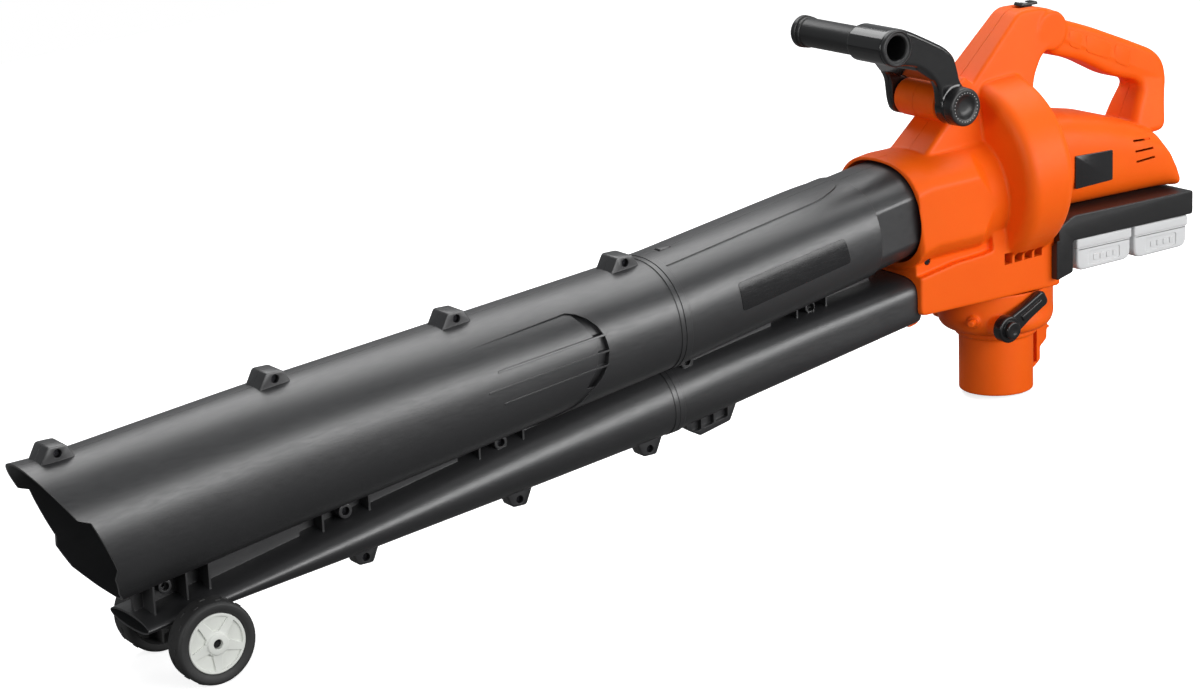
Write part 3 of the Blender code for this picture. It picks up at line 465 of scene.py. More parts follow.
def rear_tube():
    start, step = TUBE_JOINT_X, -198.0
    outer = union(duct(SUCTION, start, step, 0), duct(SUCTION, step - 6, TUBE_END_X, -2.0, flat=53.8))
    outer = union(outer, duct(SUCTION, start, start + 7, 1.3))
    panel = rounded([(-440, -30), (-246, -27), (-214, -16), (-214, 16), (-246, 27), (-440, 30)],
                    [0, 12, 12, 12, 12, 0], 5)
    prism = loft([[Vector((x, y, z)) for x, y in panel] for z in (180, 300)])
    outer = union(outer, common(duct(SUCTION, start, step, 1.2), prism))
    outer = union(outer, duct(BLOWER, BLOW_JOINT_X, TUBE_END_X, 0),
                  duct(BLOWER, BLOW_JOINT_X, BLOW_JOINT_X + 6, 1.0))
    outer = union(outer, spacer(start + 10, -168, 2.5), spacer(start + 30, -300, 15, 1.0), hook_bracket())
    for x in (-272, -252, -236):
        outer = union(outer, spacer(x - 1, x + 1, 20))
    bosses = ((-404, 108, 7.5), (-255, 134, 6.0))
    for x, z, radius in bosses:
        outer = union(outer, rod_y(x, z, -19, 19, radius, edge=0.8))
    shell = cut(outer, duct(SUCTION, start - 10, TUBE_END_X + 10, -WALL - 1.8, flat=51.4),
                duct(BLOWER, BLOW_JOINT_X - 10, TUBE_END_X + 10, -WALL))
    for x, z, _ in bosses:
        shell = cut(shell, rod_y(x, z, -25, -13, 3.9), rod_y(x, z, -30, 30, 2.4))
    latch_z = tube_top(LATCH_X)
    shell = cut(shell, box(LATCH_X - 6.8, LATCH_X + 6.8, -5, 5, latch_z - 12, latch_z + 12))
    for word, side in (("left", -1), ("right", 1)):
        place(f"rear_tube_{word}_skin", half(shell.copy(), side), "body", CHARCOAL,
              [f"rear_tube_{word}_shell"])
    label = rounded([(-371, 186), (-366, 158), (-236, 183), (-243, 208)], 4, 6)
    sticker = common(duct(SUCTION, start, step, 0.4), slab(label, -80, -30))
    sticker = cut(sticker, duct(SUCTION, start, step, 0.05))
    place("tube_label", sticker, "body", LABEL)


# ---- wheels ----
def wheels():
    for word, side in (("left", -1), ("right", 1)):
        face = Vector((WHEEL_X, side * WHEEL_OUT_Y, WHEEL_Z))
        inward = Vector((0, -side, 0))
        shoulder = 3.6
        profile = ([(1.4, HUB_R + 1.0), (0.5, HUB_R + 2.5)]
                   + arc((shoulder, TYRE_R - shoulder), shoulder, 175, 90, 8)
                   + arc((WHEEL_W - shoulder, TYRE_R - shoulder), shoulder, 90, 5, 8)
                   + [(WHEEL_W - 0.3, HUB_R + 4)])
        tyre = turned(profile, face, inward, 180)
        tyre = cut(tyre, rod(face - inward * 5, inward, 9.0, HUB_R + GAP, FINE),
                   turned(((7.5, HUB_R + 1), (WHEEL_W + 6, HUB_R + 3.5)), face, inward, FINE))
        tyre = union(tyre, rod(face + inward * 5, inward, WHEEL_W - 6, 9.0))
        for k in range(6):
            rib = box(-1.1, 1.1, -HUB_R - 2.5, -7, 0, 1)
            rib.transform(Matrix.Scale(WHEEL_W - 9.0, 4, (0, 0, 1)))
            rib.transform(Matrix.Rotation(math.pi / 3 * k, 4, "Z"))
            rib.transform(inward.to_track_quat("Z", "Y").to_matrix().to_4x4())
            rib.transform(Matrix.Translation(face + inward * 6))
            tyre = union(tyre, rib)
        tyre = union(tyre, *tread_nubs(face, inward))
        tyre = cut(tyre, rod(face - inward * 5, inward, WHEEL_W + 10, AXLE_R + GAP))
        place(f"{word}_tyre_skin", tyre, f"{word}_wheel", TYRE, [f"{word}_tyre"])
        hub = turned(((4.7, HUB_R - 0.2), (1.6, HUB_R - 0.2), (1.0, HUB_R - 0.9), (1.2, HUB_R - 2.2),
                      (1.9, 12.0), (1.3, 10.2), (0.2, 9.4), (-0.3, 7.6), (-0.3, 4.6)),
                     face, inward, FINE)
        hub = cut(hub, *[spoke_pocket(k, face, side) for k in range(5)])
        hub = cut(hub, rod(face - inward * 5, inward, WHEEL_W, AXLE_R + GAP + 0.2))
        place(f"{word}_hub_skin", hub, f"{word}_wheel", HUB, [f"{word}_wheel_hub"])


def tread_nubs(face, inward):
    """Small moulded bars that run round the tread in a zigzag."""
    nubs = []
    count = 22
    for k in range(count):
        angle = 2 * math.pi * k / count
        out = Vector((math.cos(angle), 0, math.sin(angle)))
        row = 6.5 if k % 2 else 14.5
        centre = Vector((WHEEL_X, 0, WHEEL_Z)) + Vector((0, face.y, 0)) + inward * row
        nub = box(-0.9, 0.9, -2.6, 2.6, -1.0, 0.7)
        nub.transform(out.to_track_quat("Z", "Y").to_matrix().to_4x4())
        nub.transform(Matrix.Translation(centre + out * TYRE_R))
        nubs.append(nub)
    return nubs


def spoke_pocket(k, face, side):
    """Wedge-shaped recess between two spokes, deepest towards the hub."""
    middle = 2 * math.pi * k / 5 + math.pi / 2
    outline = []
    for radius, spread in ((11.2, 0.20), (24.6, 0.50)):
        angles = [middle - spread + 2 * spread * i / 8 for i in range(9)]
        if radius > 20:
            angles.reverse()
        outline += [(WHEEL_X + radius * math.cos(a), WHEEL_Z + radius * math.sin(a)) for a in angles]
    pocket = slab(outline, -5, 5)
    for vertex in pocket.vertices:
        distance = math.hypot(vertex.co.x - WHEEL_X, vertex.co.z - WHEEL_Z)
        depth = 3.7 if distance < 18 else 2.7
        inner = vertex.co.y * side < 0
        vertex.co.y = face.y - side * depth if inner else face.y + side * 5
    return pocket


# ---- main body ----
def collar():
    """Sleeve over the tube's end with flat cheeks, cut back by the fan inlet's cone."""
    rows = ((-168, 205.5), (-130, 210.5), (-92, 211.5), (-30, 214.0))
    rings = []
    for x, z in rows:
        points = ring(x, z, 67, 55.5, 8, 2.5)
        for point in points:
            point.y = max(-61.5, min(61.5, point.y))
            if x == rows[0][0]:
                point.x += 20 * (point.y / 61.5) ** 2
        rings.append(points)
    sleeve = loft(rings)
    cone = turned(((-150, 118), (-92.5, 81.5), (-64, 64), (-58, 62), (-34, 60.5), (0, 60)),
                  fan_point(0), FAN_AXIS)
    drum = turned(((-90, 58), (-64, 61.5), (-34, 60.5), (0, 60)), fan_point(0), FAN_AXIS)
    return union(common(sleeve, cone), drum)


def scroll():
    """Fan housing: a thick disc with rounded shoulders, square to the fan axis."""
    shoulder = 14.0
    edge = SCROLL_HALF - shoulder
    profile = [(-SCROLL_HALF, 40)] + arc((-edge, SCROLL_R - shoulder), shoulder, 180, 90, 12)
    profile += arc((edge, SCROLL_R - shoulder), shoulder, 90, 0, 12) + [(SCROLL_HALF, 40)]
    return turned(profile, (SCROLL_X, 0, SCROLL_Z), FAN_AXIS, 160)


def plenum():
    """Box below the fan, with a recessed upper cheek ahead of the vents."""
    corners = [(-142, 110), (42, 110), (42, 181), (-20, 181), (-44, 181), (-142, 181)]
    form = slab(rounded(corners, [6, 4, 3, 0, 0, 3], 4), -52, 52, 2.2)
    cheek = [(-160, 147), (-136, 149.5), (-96, 156.5), (-60, 159), (-48, 161), (-50, 190), (-160, 190)]
    for side in (-1, 1):
        y0, y1 = sorted((side * 44.5, side * 70))
        form = cut(form, slab(rounded(cheek, 2.0, 3), y0, y1))
    return form


def motor_housing(pull=0.0):
    floor = 182.4
    sections = ((10, 284, 49, 3.2), (40, 283, 49.6, 3.2), (70, 281, 50, 3.2), (115, 273, 50, 3.1),
                (160, 260, 49.5, 3.0), (190, 247, 48, 2.9), (204, 230, 46.8, 2.9), (212, 213, 45.6, 3.0),
                (217, 198, 44.5, 3.1))
    rings = []
    for x, top, half_y, power in sections:
        middle = (floor + top) / 2
        points = ring(x, middle, half_y - pull, top - pull - middle, 0, power)
        rings.append([Vector((p.x, p.y, max(p.z, floor))) for p in points])
    return loft(rings)


STRUT_OUTLINE = [(-134, 246), (-97, 281), (15, 387), (23, 390), (48, 390), (66, 385),
                 (80, 372), (70, 353), (46, 343), (34, 322), (29, 290), (20, 262),
                 (-20, 240), (-90, 240)]
STRUT_TAPER = ((259.0, 1.12), (389.0, 0.72))
GRIP_OUTER = [(52, 380), (78, 374), (118, 361), (172, 340), (206, 326), (219, 314),
              (224, 298), (219, 275), (215, 240), (172, 240), (180, 270), (189, 290),
              (181, 297), (150, 305), (104, 328), (60, 340)]


def taper(mesh, table):
    """Narrow a mesh across Y with height."""
    (low_z, low_share), (high_z, high_share) = table
    for vertex in mesh.vertices:
        share = (vertex.co.z - low_z) / (high_z - low_z)
        vertex.co.y *= low_share + (high_share - low_share) * share
    return mesh


def handle():
    strut = taper(slab(rounded(STRUT_OUTLINE, 8, 5), -26, 26, 4), STRUT_TAPER)
    grip = slab(rounded(GRIP_OUTER, 13, 6), -18, 18, 7.5, 6)
    for vertex in grip.vertices:
        drop = max(0.0, 300 - vertex.co.z) / 57 if vertex.co.x > 150 else 0.0
        vertex.co.y *= 1 + 0.55 * drop
        vertex.co.x -= 7 * drop if vertex.co.x < 198 else 0.0
    boss = rod_y(60, 365, -21.5, 21.5, 20, FINE, edge=2.0)
    barrel = rod_y(*YOKE_PIVOT, -31, 29, 18.5, FINE, edge=1.5)
    rib = slab([(-101, 300), (-66, 300), (-40, 320), (-60, 335)], -24, 24)
    return union(strut, grip, boss, barrel, rib)


def body_form():
    form = union(collar(), scroll(), plenum(), motor_housing(), handle())
    for y in (-14, 8):
        tab = slab(rounded([(-134, 114), (-133, 93), (-126, 88), (-114, 91), (-111, 114)], 3, 4), y, y + 6, 1)
        form = union(form, tab)
    form = union(form, slab([(-131, 114), (-131, 97), (-115, 97), (-113, 114)], -12, 12))
    return moulded(form, 1.35, 5)


def body_hollow():
    """Air path and motor bay."""
    inlet = loft([ring(x, z, half_y, half_z, 8, 2.4) for x, z, half_y, half_z in
                  ((-180, 205.5, 60.5, 51.5), (-126, 212.5, 60.5, 51), (-112, 213, 50, 48),
                   (-20, 215.8, 50, 50))])
    fan_room = turned(((-26.5, 85), (-22, 93.5), (22, 93.5), (26.5, 85)),
                      (SCROLL_X, 0, SCROLL_Z), FAN_AXIS, 96)
    drop = slab([(-139, 113), (39, 113), (39, 156), (-139, 152)], -41, 41)
    port_z, port_y, port_h, power = between(TUBE_END_X, BLOWER)
    port = loft([ring(x, port_z + (x - TUBE_END_X) * 0.18, port_y + 0.7, port_h + 0.7,
                      TUBE_TILT, power) for x in (-160, -128)])
    outlet = box(LEVER_AXIS[0] - 12, LEVER_AXIS[0] + 72, -41, 41, 100, 118)
    bay = common(motor_housing(WALL), box(30, 211, -60, 60, 185.2, 300))
    return [inlet, fan_room, drop, port, outlet, bay]


def body_details(side):
    """Cuts in one cheek: fan vents, hood slots and the screw hole."""
    cuts = []
    for column in range(4):
        x = -33.5 + column * 13.2
        y0, y1 = sorted((side * 38, side * 66))
        low = 143.5 + 0.6 * column
        cuts.append(slab([(x, low), (x + 10.2, low + 0.5), (x + 10.2, 155.6), (x, 155.2)], y0, y1))
    for row in range(3):
        z = 241.5 - row * 11.0
        y0, y1 = sorted((side * 43, side * 60))
        x = 146 + row * 1.5
        drop = 1.5 - row * 1.5
        cuts.append(slab([(x, z), (x + 27, z - drop), (x + 27, z - drop + 2.2), (x, z + 2.2)], y0, y1))
    y0, y1 = sorted((side * 42.6, side * 70))
    cuts.append(rod_y(*PLENUM_SCREW, y0, y1, 3.9))
    return cuts


def main_body():
    form = cut(body_form(), *body_hollow())
    form = cut(form, rod(fan_point(2), FAN_AXIS, 34, 12.5), rod_y(*YOKE_PIVOT, -40, 40, 4.3))
    form = cut(form, box(27, 61, -6.5, 6.5, 380, 400))
    for side, word in ((-1, "left"), (1, "right")):
        shell = cut(half(form.copy(), side), *body_details(side))
        place(f"body_{word}_skin", shell, "body", ORANGE, [f"body_{word}_shell"])


def screw(x, z, face, thick, length):
    """Cross-head screw along y; its head's face is at y = face."""
    form = rod_y(x, z, face, face + thick, 3.4, edge=0.5)
    if length:
        form = union(form, rod_y(x, z, face + thick / 2, face + thick + length, 1.7, 16))
    for wide, tall in ((2.1, 0.45), (0.45, 2.1)):
        corners = [(x - wide, z - tall), (x + wide, z - tall), (x + wide, z + tall), (x - wide, z + tall)]
        form = cut(form, slab(corners, face - 2, face + 0.8))
    return form


def screws():
    """The plenum's screw, then one in each lug and each boss of the front tube."""
    place("body_screw_skin", screw(*PLENUM_SCREW, -44.2, 1.3, 0), "body", DARK_STEEL, ["body_screw"])
    places = [(x, tube_top(x) + 5.5, LUG_HALF, 20) for x in LUG_X]
    places += [(x, tube_bottom(x) - 7.5, LOW_LUG_HALF, 10) for x in LOW_LUG_X]
    places += [(x, web_boss_z(x), WEB_BOSS_HALF, 26) for x in WEB_BOSS_X]
    for number, (x, z, half_y, length) in enumerate(places, 1):
        form = screw(x, z, 3.6 - half_y, 2.0, length)
        place(f"tube_screw_{number}_skin", form, "front_tube", DARK_STEEL, [f"tube_screw_{number}"])


def grip_pads():
    """Raised pads on both cheeks of the grip."""
    for side, word in ((-1, "left"), (1, "right")):
        pads = []
        for outline in (([(84, 362), (103, 357), (101, 339), (84, 346)]),
                        ([(108, 355), (143, 342), (141, 324), (107, 337)]),
                        ([(148, 340), (170, 331), (168, 312), (147, 321)])):
            y0, y1 = sorted((side * 16.6, side * 18.9))
            pads.append(slab(rounded(outline, 6, 5), y0, y1, 0.8, 3))
        place(f"grip_pads_{word}", union(*pads), "body", ORANGE)


def bag_outlet():
    """Round throat under the plenum, with the spigot that the bag fits on."""
    outer = turned([(0.0, SPIGOT_R - 0.8), (0.8, SPIGOT_R), (BOWL_LOW_Z - 0.5, SPIGOT_R),
                    (BOWL_LOW_Z, SPIGOT_R + 3.5), (BOWL_LOW_Z + 2.6, SPIGOT_R + 4), (65.5, 42)]
                   + [(87 - 20.5 * math.cos(t), 45 + 19 * math.sin(t))
                      for t in (math.pi / 2 * k / 8 for k in range(9))] + [(BOWL_TOP_Z, BOWL_R)],
                   (0, 0, 0), (0, 0, 1), 160)
    inner = turned(((-5, SPIGOT_R - SPIGOT_WALL), (BOWL_LOW_Z + 4, SPIGOT_R - SPIGOT_WALL),
                    (69, 42), (77, 52), (87, BOWL_R - 3), (BOWL_TOP_Z + 5, BOWL_R - 3)),
                   (0, 0, 0), (0, 0, 1), FINE)
    for form in (outer, inner):
        for vertex in form.vertices:
            share = min(max((vertex.co.z - BOWL_LOW_Z - 3) / 23, 0), 1)
            vertex.co.y *= 1 - (1 - BOWL_WIDTH_SHARE) * share
    hub = union(rod_y(*LEVER_AXIS, -50, -30, 10.5), rod_y(*LEVER_AXIS, 31, 51, 8.0, edge=1))
    socket = rod((-44, -22, 84), (-0.87, -0.5, 0), 14, 6.5, edge=1.2)
    tail = rounded([(34, 99), (58, 106), (58.5, 58), (61.5, 56.5), (61.5, 54.5), (58, 54), (57.5, 43.3),
                    (48.5, 36), (48.5, 22.5), (40, 15.5), (35, 15.5)], [0, 2, 1, 1, 1, 1, 2, 2, 2, 2, 0], 4)
    outer = union(outer, hub, socket, slab(tail, -14.6, 14.6, 1.0, 3))
    form = moulded(outer, 1.0, 3)
    form = union(form, rod((-52, -27, 84), (-0.87, -0.5, 0), 13, 3.6, edge=1.2))
    outlet = cut(form, inner, rod_y(*LEVER_AXIS, -70, 70, 4.4))
    outlet = cut(outlet, box(38.4, 43.2, -20, 20, 21, 55), box(44.5, 58, -9, 9, 38, 62))
    place("bag_outlet_skin", outlet, "body", ORANGE, ["bag_outlet"])


def mode_lever():
    x, z = LEVER_AXIS
    tip = Vector((49.0, 26.0)).normalized()
    side = Vector((-tip.y, tip.x))
    corners = [tuple(Vector((x, z)) + tip * along + side * off)
               for along, off in ((0, 11.0), (30, 9.0), (53, 8.6), (56, 5), (56, -5), (53, -8.2),
                                  (30, -8.2), (0, -11.0))]
    arm = slab(rounded(corners, [0, 6, 3, 3, 3, 3, 6, 0], 5), -61.5, -52.6, 2.6, 5)
    grip = [tuple(Vector((x, z)) + tip * along + side * off)
            for along, off in ((18, 3.4), (48, 2.6), (48, -2.6), (18, -3.4))]
    ridge = slab(rounded(grip, 1.5, 3), -63.4, -58, 1.2, 3)
    hub = turned([(0, 11.5)] + arc((2, 11.8), 2, 180, 90, 4) + arc((10, 11.8), 2, 90, 0, 4),
                 (x, -62.3, z), (0, 1, 0), 96)
    cap = turned([(0.6, 3.2), (0, 4.4), (0, 6.6)] + arc((1.6, 7.4), 1.6, 180, 90, 4) + [(7, 9)],
                 (x, -68, z), (0, 1, 0), 80)
    lever = cut(union(hub, arm, ridge, cap), rod_y(x, z, -60.5, -40, 4.4))
    place("mode_lever_skin", lever, "mode_selector", BLACK_GLOSS, ["mode_lever"])


# ---- auxiliary handle ----
YOKE_OUTLINE = [(-108, 311), (-104, 299), (-91, 294), (-76, 298), (-70, 311), (-74, 325),
                (-84, 336), (-86.5, 347), (-91, 362), (-103, 372.5), (-122, 382), (-144, 392.5),
                (-160, 398.5), (-173, 397), (-183, 389), (-185, 377), (-178, 365), (-166, 361),
                (-154, 361), (-135, 357), (-120, 345.5), (-110.5, 334)]


def auxiliary_handle():
    px, pz = YOKE_PIVOT
    bx, bz = BAR_CENTRE
    smooth_outline = rounded(YOKE_OUTLINE, 8, 4)
    near = slab(smooth_outline, -46, -34, 3)
    far = slab(smooth_outline, 30.5, 41, 3)
    hood = slab(rounded([p for p in YOKE_OUTLINE if p[1] > 335.5], 6, 3), -44, 39)
    hollow = slab(rounded([(-113, 330), (-91, 330), (-93, 354), (-104, 365), (-122, 374), (-130, 367),
                           (-117, 354)], 4, 3), -33, 30)
    side_cut = loft([[Vector((x, y, z)) for x, y in ((-210, 6), (-160, 6), (-108, 44), (-108, 70),
                                                    (-210, 70))] for z in (320, 420)])
    disc = rod_y(px, pz, -47, -34, 19.5, FINE, edge=1.5)
    lip = slab(rounded([(-140, 360), (-137, 354), (-119, 342), (-97, 334), (-97, 338), (-118, 347)], 1.0, 2),
               -44, 39, 0.8, 2)
    yoke = cut(union(near, far, hood, disc), hollow)
    yoke = cut(union(yoke, lip), side_cut)
    yoke = moulded(yoke, 0.9, 4)
    yoke = cut(yoke, rod_y(bx, bz, -70, 70, BAR_R + GAP, FINE), rod_y(px, pz, -60, 60, 4.3))
    place("aux_handle_yoke_skin", yoke, "aux_handle", YOKE_BLACK, ["aux_handle_yoke"])

    length = BAR_Y1 - BAR_Y0
    profile = ([(1.2, 15.2), (0.3, 15.9)] + arc((1.8, 16.4), 1.8, 180, 90, 5)
               + arc((4.2, 17.2), 1.0, 90, 0, 4) + [(5.4, BAR_R + 0.3), (6.5, BAR_R)]
               + [(length - 12, BAR_R), (length - 11.6, BAR_R + 1), (length - 10, BAR_R + 1.2),
                  (length - 9.4, BAR_R + 0.2), (length - 6.4, BAR_R + 0.2), (length - 5.8, 16)]
               + arc((length - 1.4, 14.8), 1.4, 90, 0, 4) + [(length - 0.4, 13.0)])
    bar = turned(profile, (bx, BAR_Y0, bz), (0, 1, 0))
    bar = cut(bar, turned(((-5, 15.5), (0.5, 13.6), (2.5, BAR_R - 2.6), (length + 5, BAR_R - 2.6)),
                          (bx, BAR_Y0, bz), (0, 1, 0)))
    place("aux_handle_bar_skin", bar, "aux_handle", BLACK, ["aux_handle_bar"])
    clamp_knob(px, pz)


def clamp_knob(px, pz):
    """Round knob with a dished centre, a grooved rim and a ring of small raised dots."""
    profile = ([(4.2, 4.4), (3.6, 8.0), (1.6, 10.6), (0.6, 11.6), (0.0, 12.6), (0.0, 16.2)]
               + arc((2.0, 16.9), 2.0, 180, 100, 5) + [(11, 19.4), (13, 18.4)])
    knob = turned(profile, (px, -59.5, pz), (0, 1, 0))
    count = 26
    dots = []
    for k in range(count):
        angle = 2 * math.pi * k / count
        dots.append(rod_y(px + 14.4 * math.cos(angle), pz + 14.4 * math.sin(angle), -59.75, -59.2, 0.55, 10))
    grooves = []
    ridges = 36
    for k in range(ridges):
        angle = 2 * math.pi * (k + 0.5) / ridges
        grooves.append(rod_y(px + 20.2 * math.cos(angle), pz + 20.2 * math.sin(angle), -58, -45, 1.0, 10))
    knob = cut(knob, *grooves, rod_y(px, pz, -54, -40, 4.3))
    place("clamp_knob_skin", knob, "clamp_knob", BLACK, ["clamp_knob"])
    place("clamp_knob_dots", union(*dots), "clamp_knob", DOTS)


# ---- switch, badge, tray and packs ----
def switch():
    top = rounded([(31, 391), (54, 391), (53, 394.2), (44, 393.0), (36, 393.4), (33, 395)], 1.2, 4)
    slider = slab(top, -6, 6, 0.9, 3)
    ridges = [slab([(x, 392), (x + 1.2, 392), (x + 1.0, 394.4), (x + 0.2, 394.4)], -4.6, 4.6)
              for x in (46, 48.4, 50.8)]
    neck = box(38, 48, -3.5, 3.5, 384, 392)
    place("switch_slider_skin", union(slider, neck, *ridges), "switch_slider", BLACK,
          ["switch_slider"])
    mark = slab(rounded([(38.4, 393.2), (43.6, 393.05), (43.6, 393.55), (38.4, 393.75)], 0.1, 2), -1.4, 1.4)
    place("switch_mark", mark, "switch_slider", MARK)


def badge():
    outline = rounded([(63, 206), (114, 208), (114, 239), (63, 240)], 1.5, 4)
    place("badge_skin", slab(outline, -51.5, -49.4, 0.3, 2), "body", LABEL, ["motor_badge_plate"])


def battery_tray():
    outline = rounded([(29, 118), (51, 123.5), (51, 156), (219, 157), (219, 182), (52, 182),
                       (29, 171)], [3, 3, 3, 3, 3, 5, 7], 5)
    tray = slab(outline, -61, 61, 1.2, 4)
    for x in PACK_X:
        tray = cut(tray, box(x + 6, x + PACK_W - 6, -55, 70, 150, 171))
    back = turned(((-SCROLL_HALF - 2, SCROLL_R + 2), (SCROLL_HALF + 1.6, SCROLL_R + 1.6)),
                  (SCROLL_X, 0, SCROLL_Z), FAN_AXIS)
    tray = cut(tray, box(0, 42.6, -52.8, 52.8, 100, 190), back)
    place("battery_tray_skin", tray, "body", BLACK, ["battery_tray"])


def battery_packs():
    y0, y1 = -58.0, -58.0 + PACK_LEN
    for word, x in zip(("front", "rear"), PACK_X):
        low = rounded([(x + 1, 121.5), (x + PACK_W - 1, 123), (x + PACK_W - 1, 146), (x + 1, 146)],
                      [10, 10, 2, 2], 6)
        lid = rounded([(x, 145), (x + PACK_W, 145), (x + PACK_W, PACK_TOP_Z), (x, PACK_TOP_Z)], 2.2, 5)
        pack = union(slab(low, y0 + 1, y1 - 1, 2.6), slab(lid, y0, y1, 1.8))
        pack = union(pack, box(x + 9, x + PACK_W - 9, -44, y1 - 4, 151, 167))
        panel = rounded([(x + 16, 126), (x + 60, 127), (x + 60, 140), (x + 16, 140)], 3, 4)
        pack = cut(pack, slab(panel, y0 - 4, y0 + 2.0))
        bars = [slab(rounded([(x + 24 + 9 * k, 130), (x + 30 + 9 * k, 130), (x + 30 + 9 * k, 136),
                              (x + 24 + 9 * k, 136)], 1.2, 3), y0 + 1.2, y0 + 3) for k in range(4)]
        pack = union(pack, *bars)
        pack = cut(pack, box(x + 26, x + PACK_W - 26, y1 - 6, y1 + 5, 135, 145))
        place(f"{word}_pack_skin", pack, f"{word}_pack", PACK, [f"{word}_battery_pack"])
        outline = rounded([(x + 26.4, 135.4), (x + PACK_W - 26.4, 135.4), (x + PACK_W - 26.4, 144.6),
                           (x + 26.4, 144.6)], 1.2, 3)
        button = slab(outline, y1 - 2.6, y1 + 1.2, 0.8, 3)
        place(f"{word}_release_skin", button, f"{word}_release", BLACK, [f"{word}_pack_release"])


def latch_button():
    z = tube_top(LATCH_X)
    outline = rounded([(-421, z - 2.2), (-409, z - 2.2), (-409, z + 3.6), (-421, z + 2.6)],
                      [0, 0, 1.6, 1.6], 4)
    place("latch_button_skin", slab(outline, -4.2, 4.2, 0.9, 3), "tube_latch", CHARCOAL,
          ["tube_latch_button"])


# ---- materials ----
def shader_nodes(name):
    made = bpy.data.materials.new(name)
    made.use_nodes = True
    tree = made.node_tree
    return made, tree, tree.nodes["Principled BSDF"]


def noise_node(tree, scale, detail, stretch=(1, 1, 1)):
    coords = tree.nodes.new("ShaderNodeTexCoord")
    mapping = tree.nodes.new("ShaderNodeMapping")
    mapping.inputs["Scale"].default_value = stretch
    texture = tree.nodes.new("ShaderNodeTexNoise")
    texture.inputs["Scale"].default_value = scale
    texture.inputs["Detail"].default_value = detail
    tree.links.new(coords.outputs["Object"], mapping.inputs["Vector"])
    tree.links.new(mapping.outputs["Vector"], texture.inputs["Vector"])
    return texture.outputs["Fac"]


def remap(tree, value, low, high, start=0.3, stop=0.7):
    node = tree.nodes.new("ShaderNodeMapRange")
    node.inputs["From Min"].default_value = start
    node.inputs["From Max"].default_value = stop
    node.inputs["To Min"].default_value = low
    node.inputs["To Max"].default_value = high
    tree.links.new(value, node.inputs["Value"])
    return node.outputs["Result"]


def mix_colour(tree, share, first, second):
    node = tree.nodes.new("ShaderNodeMix")
    node.data_type = "RGBA"
    for socket, value in ((node.inputs[6], first), (node.inputs[7], second)):
        if isinstance(value, tuple):
            socket.default_value = (*value, 1.0)
        else:
            tree.links.new(value, socket)
    tree.links.new(share, node.inputs[0])
    return node.outputs[2]


def soft_edges(tree, radius=0.0007):
    """Normal with rounded-off edges, and how much of an edge each point is (0 to 1)."""
    bevel = tree.nodes.new("ShaderNodeBevel")
    bevel.samples = 4
    bevel.inputs["Radius"].default_value = radius
    geometry = tree.nodes.new("ShaderNodeNewGeometry")
    match = tree.nodes.new("ShaderNodeVectorMath")
    match.operation = "DOT_PRODUCT"
    tree.links.new(bevel.outputs["Normal"], match.inputs[0])
    tree.links.new(geometry.outputs["Normal"], match.inputs[1])
    return bevel.outputs["Normal"], remap(tree, match.outputs["Value"], 1.0, 0.0, 0.88, 0.995)


def plastic(name, colour, shade, roughness, grain=0.12, grain_scale=1500, wear_and_edge_highlight=0.35, coat=0.0,
            glow=0.0, glow_colour=(1.0, 0.2, 0.05), specular=0.5, edge_radius=0.0007):
    """Moulded plastic: colour drift, edges lightened partly as rubbed wear and partly as a painted highlight, fine
    grain, faint scratches in the sheen.
    """
    made, tree, shader = shader_nodes(name)
    drift = remap(tree, noise_node(tree, 14, 3), 0.0, 1.0)
    base = mix_colour(tree, drift, colour, shade)
    soft_normal, edge = soft_edges(tree, edge_radius)
    patchy = tree.nodes.new("ShaderNodeMath")
    patchy.operation = "MULTIPLY"
    tree.links.new(edge, patchy.inputs[0])
    tree.links.new(remap(tree, noise_node(tree, 45, 3), 0.0, wear_and_edge_highlight, 0.35, 0.6), patchy.inputs[1])
    # Edges get a lighter colour: partly rubbed wear, partly a painted edge highlight.
    lighter = tuple(min(1.0, channel * 1.5 + 0.03) for channel in colour)
    tree.links.new(mix_colour(tree, patchy.outputs[0], base, lighter), shader.inputs["Base Color"])
    scratches = noise_node(tree, 90, 4, (1.0, 6.0, 6.0))
    sheen = tree.nodes.new("ShaderNodeMath")
    sheen.operation = "ADD"
    tree.links.new(remap(tree, scratches, -0.04, 0.05), sheen.inputs[0])
    tree.links.new(remap(tree, noise_node(tree, 5, 2), roughness - 0.03, roughness + 0.03), sheen.inputs[1])
    tree.links.new(sheen.outputs[0], shader.inputs["Roughness"])
    bump = tree.nodes.new("ShaderNodeBump")
    bump.inputs["Strength"].default_value = grain
    bump.inputs["Distance"].default_value = 0.0003
    tree.links.new(noise_node(tree, grain_scale, 2), bump.inputs["Height"])
    tree.links.new(soft_normal, bump.inputs["Normal"])
    tree.links.new(bump.outputs["Normal"], shader.inputs["Normal"])
    shader.inputs["Specular IOR Level"].default_value = specular
    shader.inputs["Coat Weight"].default_value = coat
    shader.inputs["Coat Roughness"].default_value = 0.12
    if glow:
        shader.inputs["Subsurface Weight"].default_value = glow
        shader.inputs["Subsurface Radius"].default_value = glow_colour
        shader.inputs["Subsurface Scale"].default_value = 0.004
    return made


def metal(name, colour, roughness):
    """Turned or plated metal with fine lathe lines and smudges."""
    made, tree, shader = shader_nodes(name)
    shader.inputs["Metallic"].default_value = 1.0
    drift = remap(tree, noise_node(tree, 60, 3), 0.0, 1.0)
    tree.links.new(mix_colour(tree, drift, colour, tuple(c * 0.85 for c in colour)),
                   shader.inputs["Base Color"])
    lines = noise_node(tree, 400, 2, (1.0, 30.0, 1.0))
    tree.links.new(remap(tree, lines, roughness - 0.06, roughness + 0.08), shader.inputs["Roughness"])
    bump = tree.nodes.new("ShaderNodeBump")
    bump.inputs["Strength"].default_value = 0.08
    bump.inputs["Distance"].default_value = 0.0002
    tree.links.new(lines, bump.inputs["Height"])
    tree.links.new(bump.outputs["Normal"], shader.inputs["Normal"])
    return made


